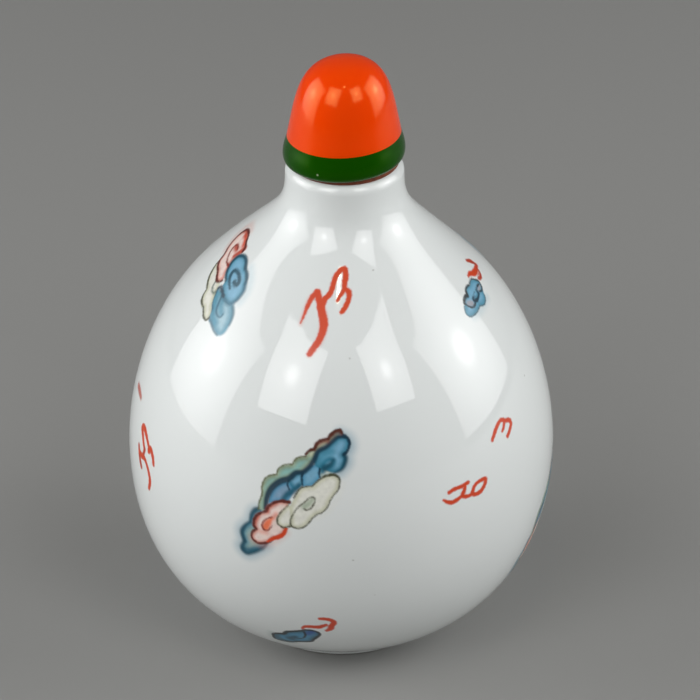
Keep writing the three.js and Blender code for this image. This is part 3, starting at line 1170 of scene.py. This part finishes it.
def puff() -> Marks:
    """Two puffs of cloud with flame wisps blown off to the right."""
    return (
        Brush(Enamel.MIST, [(0.0, 1.3), (2.0, 1.2), (4.6, 1.4)], [0.6], soft=0.6, strength=0.4),
        Fill(Enamel.SEA, Enamel.SKY, [(0.1, 3.1), (-0.4, 2.6), (-0.7, 2.1), (-0.5, 1.6), (0.1, 1.4),
            (0.8, 1.4), (1.6, 1.5), (2.1, 1.6), (2.6, 1.4), (3.2, 1.3), (3.9, 1.5), (4.3, 1.9), (4.6, 2.6),
            (2.0, 3.2)], depth=0.8),
        Line(Enamel.SLATE, [(0.1, 3.1), (-0.4, 2.6), (-0.65, 2.1), (-0.5, 1.6), (0.1, 1.4), (0.8, 1.4),
            (1.6, 1.5), (2.1, 1.6), (2.1, 1.6), (2.6, 1.4), (3.2, 1.3), (3.9, 1.5), (4.3, 1.9)],
            [0.12, 0.16, 0.18, 0.2, 0.18]),
        Fill(Enamel.SEA, Enamel.SKY, [(0.1, 3.1), (0.4, 3.4), (1.0, 3.6), (1.4, 3.6), (1.8, 4.0),
            (2.4, 4.15), (3.0, 4.0), (3.6, 4.15), (4.3, 4.0), (4.9, 3.5), (5.2, 3.1), (5.0, 2.6),
            (4.4, 2.3), (3.6, 2.4), (2.4, 2.2), (1.4, 2.1), (0.8, 2.1), (0.4, 2.5)], depth=0.7),
        Brush(Enamel.SMOKE, [(0.7, 2.7), (1.2, 2.5)], [0.7], soft=0.25, strength=0.85),
        Brush(Enamel.SMOKE, [(3.9, 2.7), (4.6, 2.85)], [0.4], soft=0.2, strength=0.9),
        Line(Enamel.INK, [(0.1, 3.05), (0.4, 2.5), (0.9, 2.1), (1.5, 2.1), (1.9, 2.3)], [0.2, 0.25]),
        Line(Enamel.INK, [(0.1, 3.1), (0.5, 3.35), (1.0, 3.5), (1.4, 3.4), (1.4, 3.4), (1.8, 3.95),
            (2.4, 4.1), (3.0, 3.95), (3.0, 3.95), (3.6, 4.15), (4.3, 4.0), (4.8, 3.6), (5.2, 3.15),
            (5.0, 2.6), (4.5, 2.35), (4.0, 2.5), (3.6, 2.75)], [0.3, 0.5, 0.3, 0.2, 0.22, 0.25, 0.22, 0.2]),
        Line(Enamel.NIGHT, [(2.9, 3.0), (2.3, 2.9), (1.8, 2.6), (2.2, 2.3), (3.0, 2.35), (3.5, 2.6),
            (3.3, 2.9)], [0.12, 0.3, 0.5, 0.3, 0.2]),
        Line(Enamel.INK, [(3.4, 3.1), (4.0, 3.1), (4.6, 3.05), (5.0, 2.9)], [0.15, 0.25, 0.15]),
        Line(Enamel.VERMILION, [(3.9, 4.6), (4.7, 4.5), (5.4, 4.1), (6.2, 3.9), (7.2, 3.8), (8.0, 3.7)],
            [0.31, 0.65, 0.78, 0.65, 0.45]),
        Line(Enamel.RED, [(6.2, 5.4), (6.9, 4.9), (7.5, 4.4), (7.8, 3.9)], [0.31, 0.58, 0.45]),
        Line(Enamel.RED, [(5.6, 3.25), (6.3, 3.05), (7.0, 3.2), (7.3, 3.7)], [0.38, 0.51, 0.38]),
    )


def flicker() -> Marks:
    """A loose twist of flame wisps."""
    return (
        Brush(Enamel.RED, [(-5.6, 3.3), (-4.6, 3.3), (-3.3, 3.1)], [0.7, 0.85, 0.6], soft=0.25,
            strength=0.9),
        Line(Enamel.VERMILION, [(0.7, -1.4), (0.2, -0.7), (-0.3, 0.0), (-0.75, 0.6), (-0.4, 1.0),
            (0.3, 0.75), (1.0, 0.2), (1.7, -0.4)], [0.56, 0.63, 0.76, 0.82, 0.63, 0.56]),
        Line(Enamel.VERMILION, [(1.8, -0.8), (2.1, -0.4), (2.6, -0.7), (3.0, -1.3), (3.2, -1.8)],
            [0.82, 0.69, 0.63, 0.56]),
        Line(Enamel.RED, [(0.7, -1.2), (0.5, -1.9), (0.2, -2.4)], [0.56, 0.56]),
        Line(Enamel.RED, [(-1.1, -1.7), (-0.8, -2.4), (-0.4, -3.2), (0.1, -3.8)], [0.56, 0.76, 0.63]),
        Line(Enamel.VERMILION, [(-0.8, -2.4), (0.0, -2.4), (0.9, -2.3), (1.6, -2.7), (2.3, -3.5),
            (2.6, -4.4), (2.3, -5.4)], [0.69, 0.76, 0.56, 0.63, 0.69, 0.49]),
    )


def tongues() -> Marks:
    """Two low groups of flame wisps."""
    return (
        Line(Enamel.VERMILION, [(3.4, 1.8), (4.0, 2.5), (4.7, 3.1), (5.3, 3.3), (5.8, 3.0), (5.5, 2.4),
            (5.2, 2.1)], [0.45, 0.58, 0.51, 0.51, 0.38]),
        Line(Enamel.VERMILION, [(5.8, 3.0), (6.5, 2.8), (6.9, 2.3), (6.5, 1.7), (5.9, 1.2)],
            [0.51, 0.51, 0.51]),
        Line(Enamel.VERMILION, [(-3.35, -1.95), (-2.6, -1.75), (-1.8, -1.75), (-0.85, -1.6)],
            [0.45, 0.51, 0.45, 0.51]),
        Line(Enamel.VERMILION, [(-1.2, -1.8), (-1.4, -2.3), (-1.7, -2.8), (-1.3, -3.1), (-0.5, -3.15)],
            [0.38, 0.58, 0.51, 0.45]),
        Line(Enamel.VERMILION, [(-4.1, -2.65), (-3.5, -3.1), (-2.8, -3.2), (-2.0, -2.95), (-1.7, -2.7)],
            [0.31, 0.55, 0.55, 0.38]),
        Line(Enamel.VERMILION, [(-0.5, -3.1), (-0.1, -2.4), (0.4, -2.05), (1.1, -1.95), (1.65, -2.1),
            (1.3, -2.8), (0.7, -3.25), (0.0, -3.3), (-0.4, -3.1)], [0.51, 0.45, 0.51, 0.55, 0.51]),
    )


def low_cloud() -> Marks:
    """One dark cloud with a flame wisp over it."""
    return (
        Brush(Enamel.HAZE, [(-4.4, -1.0), (-4.6, -2.6), (-3.6, -3.7), (-1.8, -3.3)], [0.6], soft=0.6,
            strength=0.4),
        Fill(Enamel.SLATE, Enamel.AZURE, [(-4.2, -1.4), (-3.6, -0.9), (-2.9, -0.7), (-2.9, -0.7),
            (-2.4, 0.1), (-1.6, 0.5), (-0.8, 0.8), (-0.2, 1.2), (0.6, 1.2), (1.2, 0.9), (1.3, 0.2),
            (0.9, -0.5), (0.5, -1.2), (0.2, -1.9), (-0.6, -2.3), (-1.4, -2.6), (-2.2, -3.2), (-3.4, -3.5),
            (-4.2, -3.3), (-4.4, -2.4)], depth=0.9),
        Brush(Enamel.COBALT, [(0.0, 0.3), (0.5, 0.8)], [0.8], soft=0.35, strength=0.85),
        Brush(Enamel.TEAL, [(-2.2, -1.8), (-1.6, -1.1)], [1.1, 0.8], soft=0.35, strength=0.9),
        Brush(Enamel.SLATE, [(-3.9, -1.5), (-3.6, -2.6), (-2.6, -3.1)], [0.8, 0.9], soft=0.35,
            strength=0.85),
        Line(Enamel.INK, [(-0.4, 0.7), (-0.35, -0.3), (-0.7, -1.1), (-1.4, -1.6)], [0.3, 0.25, 0.2]),
        Line(Enamel.INK, [(-4.2, -1.4), (-3.6, -0.95), (-2.9, -0.75), (-2.9, -0.75), (-2.4, 0.05),
            (-1.6, 0.45), (-0.8, 0.8), (-0.2, 1.15), (0.6, 1.15), (1.2, 0.8), (1.3, 0.2), (0.9, -0.5),
            (0.5, -1.2), (0.2, -1.9), (-0.6, -2.3), (-1.4, -2.6), (-2.2, -3.1), (-3.4, -3.4), (-4.15, -3.2),
            (-4.3, -2.4), (-4.2, -1.4)], [0.35, 0.5, 0.35, 0.3, 0.35, 0.3, 0.35, 0.3, 0.35]),
        Line(Enamel.VERMILION, [(-0.5, 1.4), (-0.3, 1.8), (0.3, 2.0), (0.9, 2.0), (1.5, 2.1), (2.2, 2.6)],
            [0.31, 0.58, 0.65, 0.65, 0.45]),
        Line(Enamel.VERMILION, [(1.6, 3.75), (2.3, 3.75), (2.9, 3.5), (3.1, 3.1), (2.8, 2.4), (2.65, 1.8),
            (2.2, 1.35)], [0.45, 0.58, 0.65, 0.72, 0.72, 0.45]),
    )


def pinhole() -> Marks:
    """One pinhead iron speck in the glaze."""
    return (Line(Enamel.SPECK, [(-0.04, 0.0), (0.04, 0.02)], [0.12]),)


def decoration() -> list[Motif]:
    """Places the motifs: those of the front, then plainer company for them round the sides and the back."""
    return [
        Motif(bank(), -10, 28.5),
        Motif(curled_clouds(), -60, 43),
        Motif(forked_wisp(), -9, 44),
        Motif(puff(), 60, 42),
        Motif(flicker(), -68, 28),
        Motif(tongues(), 38, 30),
        Motif(low_cloud(), -10, 9.5),
        Motif(bank(), 77, 16, 0.8),
        Motif(bank(), 178, 27, mirrored=True),
        Motif(curled_clouds(), 120, 40, mirrored=True),
        Motif(forked_wisp(), 172, 44),
        Motif(puff(), -152, 40, 1.1),
        Motif(flicker(), 112, 26, mirrored=True),
        Motif(tongues(), -138, 25),
        Motif(low_cloud(), 150, 9.5),
        Motif(low_cloud(), -95, 12, 1.1, mirrored=True),
        Motif(pinhole(), 18.9, 49.5, 0.8),
        Motif(pinhole(), 3.2, 21.7),
        Motif(pinhole(), 9.1, 16.6, 0.7),
        Motif(pinhole(), 3.4, 42.8, 0.7),
        Motif(pinhole(), 70, 35, 0.8),
        Motif(pinhole(), -118, 22),
        Motif(pinhole(), 150, 34, 0.9),
        Motif(pinhole(), -165, 16, 0.8),
    ]


@dataclass
class Bottle:
    """The hollow porcelain bottle: foot ring, body, neck and lip in one piece."""

    foot_radius: float = 11.0
    foot_height: float = 0.9
    foot_rise_angle: float = 28.0
    foot_reach: float = 3.7
    belly: Place = (24.0, 22.5)
    belly_reach_down: float = 15.4
    belly_reach_up: float = 8.1
    shoulder: Place = (15.8, 43.92)
    shoulder_angle: float = 45.9
    shoulder_reach_down: float = 7.2
    shoulder_reach_up: float = 11.0
    neck_radius: float = 6.5
    neck_reach: float = 5.1
    lip_height: float = 57.95
    foot_edge: float = 0.35
    foot_ring_width: float = 1.9
    recess_depth: float = 0.8
    lip_round: float = 1.2
    bore_radius: float = 3.45
    bore_ease: float = 0.3
    bore_length: float = 7.0
    wall: float = 2.0
    floor: float = 2.6
    floor_rise_angle: float = 12.0
    floor_reach: float = 5.0
    throat_reach: float = 3.2
    throat_reach_out: float = 6.5
    neck_offset: float = 0.42
    neck_offset_span: Place = (45.0, 54.0)
    smooth_angle: float = 20.0
    sides: int = 160
    paint_cuts: int = 6

    def foot(self) -> Outline:
        """The underside, from the middle of its recess over the foot ring to the ring's outer top."""
        inner, edge = self.foot_radius - self.foot_ring_width, self.foot_edge
        return joined(
            line((0, self.recess_depth), (inner, self.recess_depth)),
            line((inner, self.recess_depth), (inner, edge)),
            arc((inner + edge, edge), edge, 180, 270, steps=4),
            arc((self.foot_radius - edge, edge), edge, 270, 360, steps=4),
            line((self.foot_radius, edge), (self.foot_radius, self.foot_height)),
        )

    def outside(self) -> Outline:
        """The glazed outside, from the foot ring up to the lip's rounding."""
        foot = (self.foot_radius, self.foot_height)
        belly, shoulder = self.belly, self.shoulder
        neck = (self.neck_radius, self.lip_height - self.lip_round)
        rise = away(foot, self.foot_rise_angle, self.foot_reach)
        down = away(belly, -90, self.belly_reach_down)
        up = away(belly, 90, self.belly_reach_up)
        out = away(shoulder, -self.shoulder_angle, self.shoulder_reach_down)
        inwards = away(shoulder, 180 - self.shoulder_angle, self.shoulder_reach_up)
        return joined(
            bezier(foot, rise, down, belly, steps=32),
            bezier(belly, up, out, shoulder, steps=24),
            bezier(shoulder, inwards, away(neck, -90, self.neck_reach), neck, steps=18),
        )

    def lip(self) -> Outline:
        """The lip's rounding, its flat top and the edge of the bore."""
        neck = (self.neck_radius - self.lip_round, self.lip_height - self.lip_round)
        mouth = (self.bore_radius + self.bore_ease, self.lip_height - self.bore_ease)
        return joined(
            arc(neck, self.lip_round, 0, 90, steps=12),
            arc(mouth, self.bore_ease, 90, 180, steps=4),
        )

    def inside(self) -> Outline:
        """The bore and the cavity, down to the middle of its floor."""
        belly = (self.belly[0] - self.wall, self.belly[1])
        shoulder = away(self.shoulder, 90 - self.shoulder_angle, -self.wall)
        throat = (self.bore_radius, self.lip_height - self.bore_length)
        floor = (self.foot_radius - self.foot_ring_width, self.recess_depth + self.floor)
        scale = belly[0] / self.belly[0]
        inwards = away(shoulder, 180 - self.shoulder_angle, self.throat_reach_out)
        out = away(shoulder, -self.shoulder_angle, self.shoulder_reach_down * scale)
        up = away(belly, 90, self.belly_reach_up * scale)
        down = away(belly, -90, self.belly_reach_down * scale)
        rise = away(floor, self.floor_rise_angle, self.floor_reach)
        return joined(
            line((self.bore_radius, self.lip_height - self.bore_ease), throat),
            bezier(throat, away(throat, -90, self.throat_reach), inwards, shoulder, steps=8),
            bezier(shoulder, out, up, belly, steps=8),
            bezier(belly, down, rise, floor, steps=9),
            line(floor, (0, floor[1])),
        )

    def step_aside(self, height: np.ndarray) -> np.ndarray:
        """Tells how far right of the axis the luted neck sits at each height, in millimetres."""
        return self.neck_offset * blend(height, *self.neck_offset_span)

    def build(self) -> bpy.types.Object:
        """Makes the bottle, paints it and stands it for its node."""
        outline = joined(self.foot(), self.outside(), self.lip(), self.inside())
        piece = turn_on_axis("glazed_bottle", outline, self.sides)
        skin = Skin(self.outside())
        motifs = decoration()
        self.refine(piece, skin, motifs)
        self.true_up(piece, skin)
        skin.paint(piece, motifs)
        self.shift_neck(piece, skin)
        piece.data.materials.append(GlazedPorcelain().material())
        settle(piece, "porcelain_bottle")
        return piece

    def refine(self, piece: bpy.types.Object, skin: Skin, motifs: Sequence[Motif]) -> None:
        """Cuts the faces under the painting fine enough to hold it.

        Args:
            piece: The turned bottle.
            skin: Its glazed outside.
            motifs: What is painted on it.
        """
        mesh = piece.data
        centres = np.empty(len(mesh.polygons) * 3, np.float32)
        mesh.polygons.foreach_get("center", centres)
        centres = centres.reshape(-1, 3).astype(float) / MM
        chosen = np.zeros(len(centres), bool)
        for motif in motifs:
            chosen |= skin.under(centres, motif)
        bpy.context.tool_settings.mesh_select_mode = (False, False, True)
        bpy.ops.object.mode_set(mode="EDIT")
        bpy.ops.mesh.select_all(action="DESELECT")
        bpy.ops.object.mode_set(mode="OBJECT")
        mesh.polygons.foreach_set("select", chosen)
        bpy.ops.object.mode_set(mode="EDIT")
        bpy.ops.mesh.subdivide(number_cuts=self.paint_cuts)
        bpy.ops.object.mode_set(mode="OBJECT")
        log.info("painted faces: %d of %d", chosen.sum(), len(chosen))

    def true_up(self, piece: bpy.types.Object, skin: Skin) -> None:
        """Moves every vertex of the outside onto the true turned surface.

        Args:
            piece: The refined bottle.
            skin: Its glazed outside.
        """
        places = vertex_places(piece)
        outer = skin.holds(places)
        reach = np.hypot(places[:, 0], places[:, 1])
        grow = np.where(outer, skin.radius_at(places[:, 2]) / np.maximum(reach, TINY), 1.0)
        places[:, 0] *= grow
        places[:, 1] *= grow
        move_vertices(piece, places)

    def shift_neck(self, piece: bpy.types.Object, skin: Skin) -> None:
        """Sets the neck aside, and gives the outside the smooth normals of the true surface.

        Args:
            piece: The painted bottle.
            skin: Its glazed outside.
        """
        mesh = piece.data
        places = vertex_places(piece)
        outer = skin.holds(places)
        normals = skin.normals_at(places, self.step_aside)
        places[:, 0] += self.step_aside(places[:, 2])
        move_vertices(piece, places)
        corner_vertices = np.empty(len(mesh.loops), np.int32)
        mesh.loops.foreach_get("vertex_index", corner_vertices)
        own = np.array([corner.vector for corner in mesh.corner_normals], float)
        true = normals[corner_vertices]
        alike = (own * true).sum(axis=1) > math.cos(math.radians(self.smooth_angle))
        close = outer[corner_vertices] & alike
        mesh.normals_split_custom_set(np.where(close[:, None], true, own).tolist())


@dataclass
class Stopper:
    """The cork, collar and cap. Their seams slope up to the right while their sides stand upright."""

    seat: float = 57.95
    aside: float = 0.35
    seam_slope: float = 2.7
    cork_head_radius: float = 6.0
    cork_head_mid: float = 0.37
    plug_radius: float = 3.1
    plug_end_radius: float = 2.75
    plug_length: float = 5.4
    plug_chamfer: float = 0.5
    collar_bottom_radius: float = 6.1
    collar_widest: Place = (6.66, 0.95)
    collar_top: Place = (6.22, 3.0)
    collar_edge_angle: float = 15.0
    collar_edge_reach: float = 0.45
    collar_side_reach: float = 0.7
    collar_chip: Place3 = (-2.42, -5.90, 59.20)
    cap_side_angle: float = 11.7
    cap_top_height: float = 11.63
    cap_side_reach: float = 4.905
    cap_top_reach: float = 5.05
    sides: int = 144

    def cork(self) -> bpy.types.Object:
        """Makes the cork: a plug under a thin head whose top slopes with the collar."""
        head, plug = self.cork_head_radius, self.plug_radius
        outline = [
            (0, -self.plug_length),
            (self.plug_end_radius - self.plug_chamfer, -self.plug_length),
            (self.plug_end_radius, self.plug_chamfer - self.plug_length),
            (plug, 0),
            (head, 0),
            (head, self.cork_head_mid),
            (0, self.cork_head_mid),
        ]
        piece = turn_on_axis("cork", outline, self.sides)
        self.seat_piece(piece, lift=0.0, skew_above=self.cork_head_mid / 2)
        piece.data.materials.append(Cork().material())
        settle(piece, "stopper_cork")
        return piece

    def seat_piece(self, piece: bpy.types.Object, lift: float, skew_above: float = -math.inf) -> None:
        """Skews a piece along the seams' slope and seats it on the lip.

        Args:
            piece: The piece, turned about the axis.
            lift: How far above the lip it starts, in millimetres.
            skew_above: The height in the piece that the skew starts above, or else all of it is skewed.
        """
        slope = math.tan(math.radians(self.seam_slope))
        for vertex in piece.data.vertices:
            if vertex.co.z > skew_above * MM:
                vertex.co.z += slope * vertex.co.x
        piece.data.transform(Matrix.Translation((self.aside * MM, 0, (self.seat + lift) * MM)))

    def collar(self) -> bpy.types.Object:
        """Makes the green collar, which bellies out low on its side over an eased bottom edge."""
        bottom, widest, top = (self.collar_bottom_radius, 0.0), self.collar_widest, self.collar_top
        edge = away(bottom, self.collar_edge_angle, self.collar_edge_reach)
        side = away(top, self.cap_side_angle - 90, self.collar_side_reach)
        outline = joined(
            line((0, 0), bottom),
            bezier(bottom, edge, away(widest, -90, self.collar_edge_reach), widest, steps=12),
            bezier(widest, away(widest, 90, self.collar_side_reach), side, top, steps=10),
            line(top, (0, top[1])),
        )
        piece = turn_on_axis("green_collar", outline, self.sides)
        self.seat_piece(piece, lift=self.cork_head_mid)
        glass = PolishedGlass(
            "green glass",
            colour="#0E4500",
            roughness=0.24,
            glow=0.1,
            shine=0.24,
            shine_tint="#A0FF30",
            chip_at=self.collar_chip,
        )
        piece.data.materials.append(glass.material())
        settle(piece, "stopper_collar")
        return piece

    def cap(self) -> bpy.types.Object:
        """Makes the coral cap, a blunt cone that rounds over into a flat dome."""
        bottom, top = self.collar_top, (0.0, self.cap_top_height)
        side = away(bottom, 90 + self.cap_side_angle, self.cap_side_reach)
        outline = joined(
            line((0, bottom[1]), bottom),
            bezier(bottom, side, away(top, 0, self.cap_top_reach), top, steps=48),
        )
        piece = turn_on_axis("coral_cap", outline, self.sides)
        self.seat_piece(piece, lift=self.cork_head_mid)
        glass = PolishedGlass(
            "coral glass", colour="#FF4400", roughness=0.13, glow=0.2, shine=0.75, shine_tint="#FFC478"
        )
        piece.data.materials.append(glass.material())
        settle(piece, "stopper_cap")
        return piece

    def build(self) -> list[bpy.types.Object]:
        """Makes the three pieces."""
        return [self.cork(), self.collar(), self.cap()]


def settle(piece: bpy.types.Object, node: str) -> None:
    """Joins a finished piece to the frame.

    Args:
        piece: The piece.
        node: The node that it stands for.
    """
    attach(piece, "root")
    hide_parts(node)


def direction(azimuth: float, elevation: float) -> Vector:
    """Finds the direction from the bottle to something round it.

    Args:
        azimuth: Degrees from the front towards +X.
        elevation: Degrees above the floor.

    Returns:
        The unit vector.
    """
    a, e = math.radians(azimuth), math.radians(elevation)
    return Vector((math.sin(a) * math.cos(e), -math.cos(a) * math.cos(e), math.sin(e)))


@dataclass(frozen=True)
class Softbox:
    """A square diffusion box with a lamp behind it, so that its face is brightest in the middle.

    The face's brightness is multiplied by hot at its core and by rim at its edge.
    """

    name: str
    azimuth: float
    elevation: float
    distance: float
    width: float
    height: float
    face: float
    hot: float
    rim: float
    tint: str = "#FFFFFF"
    core_radius: float = 0.22
    fall_span: Place = (0.05, 0.7)

    def place(self, target: Vector) -> None:
        """Hangs the box round the target, facing it.

        Args:
            target: The point that it lights, in metres.
        """
        lamp = bpy.data.lights.new(self.name, "AREA")
        lamp.shape = "RECTANGLE"
        lamp.size, lamp.size_y = self.width * MM, self.height * MM
        lamp.energy = 1.0
        lamp.use_nodes = True
        tree = lamp.node_tree
        tree.nodes.clear()
        spot = add_node(tree, "ShaderNodeNewGeometry", {}).outputs["Parametric"]
        centre = {"operation": "DISTANCE", 1: (0.5, 0.5, 0.0)}
        middle = add_node(tree, "ShaderNodeVectorMath", centre, i0=spot).outputs["Value"]
        core = add_ramp(tree, middle, (0.0, self.core_radius), (self.hot, 1.0), "SMOOTHERSTEP")
        wide = add_ramp(tree, middle, self.fall_span, (1.0, self.rim), "SMOOTHSTEP")
        times = {"operation": "MULTIPLY"}
        both = add_node(tree, "ShaderNodeMath", times, i0=core, i1=wide).outputs["Value"]
        strength = self.face * self.width * self.height * MM * MM * math.pi
        power = add_node(tree, "ShaderNodeMath", {**times, 1: strength}, i0=both).outputs["Value"]
        glow = add_node(tree, "ShaderNodeEmission", {"Color": linear(self.tint)}, Strength=power)
        add_node(tree, "ShaderNodeOutputLight", {}, Surface=glow.outputs["Emission"])
        obj = bpy.data.objects.new(self.name, lamp)
        bpy.context.scene.collection.objects.link(obj)
        back = direction(self.azimuth, self.elevation)
        obj.location = target + back * self.distance * MM
        obj.rotation_euler = back.to_track_quat("Z", "Y").to_euler()
        obj.visible_camera = False


@dataclass
class Studio:
    """The pale floor, the softboxes, the dim room and the camera."""

    floor_colour: str = "#90908E"
    floor_radius: float = 4000.0
    floor_sides: int = 96
    floor_roughness: float = 0.8
    aim_height: float = 35.0
    room: float = 0.10
    backdrop: float = 0.42
    camera_drop: float = 30.6
    camera_distance: float = 416.0
    lens: float = 191.3
    sensor: float = 36.0
    look_at: Place3 = (1.0, 0.0, 33.9)

    def floor(self) -> None:
        """Lays the floor."""
        radius = self.floor_radius * MM
        bpy.ops.mesh.primitive_circle_add(vertices=self.floor_sides, radius=radius, fill_type="NGON")
        floor = bpy.context.object
        floor.name = "floor"
        made, _, shader = new_material("pale floor")
        shader.inputs["Base Color"].default_value = linear(self.floor_colour)
        shader.inputs["Roughness"].default_value = self.floor_roughness
        floor.data.materials.append(made)

    def light(self) -> None:
        """Hangs the four softboxes and sets the room's own dim light."""
        target = Vector((0, 0, self.aim_height * MM))
        inner = {"distance": 620, "hot": 1.9, "rim": 0.65}
        outer = {"distance": 450, "width": 400, "height": 400, "rim": 0.36}
        boxes = (
            Softbox("inner left softbox", -35, 37, width=330, height=400, face=3.6, **inner),
            Softbox("inner right softbox", 34, 40, width=260, height=360, face=3.4, **inner),
            Softbox("outer left softbox", -91, 20, face=3.75, hot=1.8, **outer),
            Softbox("outer right softbox", 91, 23, face=3.65, hot=2.1, **outer),
            Softbox("bare lamp", -5.2, 62.2, 600, 20, 8, face=110.0, hot=1.0, rim=1.0, tint="#FFF0C8"),
        )
        for box in boxes:
            box.place(target)
        world = bpy.data.worlds.new("dim room")
        bpy.context.scene.world = world
        world.use_nodes = True
        tree = world.node_tree
        tree.nodes.clear()
        dim = add_node(tree, "ShaderNodeBackground", {"Color": WHITE, "Strength": self.room})
        pale = add_node(tree, "ShaderNodeBackground", {"Color": WHITE, "Strength": self.backdrop})
        seen = add_node(tree, "ShaderNodeLightPath", {}).outputs["Is Camera Ray"]
        mix = add_node(tree, "ShaderNodeMixShader", {}, i0=seen, i1=dim.outputs[0], i2=pale.outputs[0])
        add_node(tree, "ShaderNodeOutputWorld", {}, Surface=mix.outputs["Shader"])

    def camera(self) -> None:
        """Sets the camera where the bottle was seen from."""
        data = bpy.data.cameras.new("camera")
        data.sensor_width = self.sensor
        data.lens = self.lens
        camera = bpy.data.objects.new("camera", data)
        bpy.context.scene.collection.objects.link(camera)
        back = direction(0.0, self.camera_drop)
        camera.location = (Vector(self.look_at) + back * self.camera_distance) * MM
        camera.rotation_euler = back.to_track_quat("Z", "Y").to_euler()
        bpy.context.scene.camera = camera

    def build(self) -> None:
        """Sets up the whole studio."""
        self.floor()
        self.light()
        self.camera()
        bpy.context.scene.view_settings.view_transform = "Standard"


def main() -> None:
    """Builds the bottle, its stopper and the studio."""
    logging.basicConfig(level=logging.INFO, format="%(name)s: %(message)s")
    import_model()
    pieces = [Bottle().build(), *Stopper().build()]
    for piece in pieces:
        log.info("%s: %d faces", piece.name, len(piece.data.polygons))
    Studio().build()


if __name__ == "__main__":
    main()
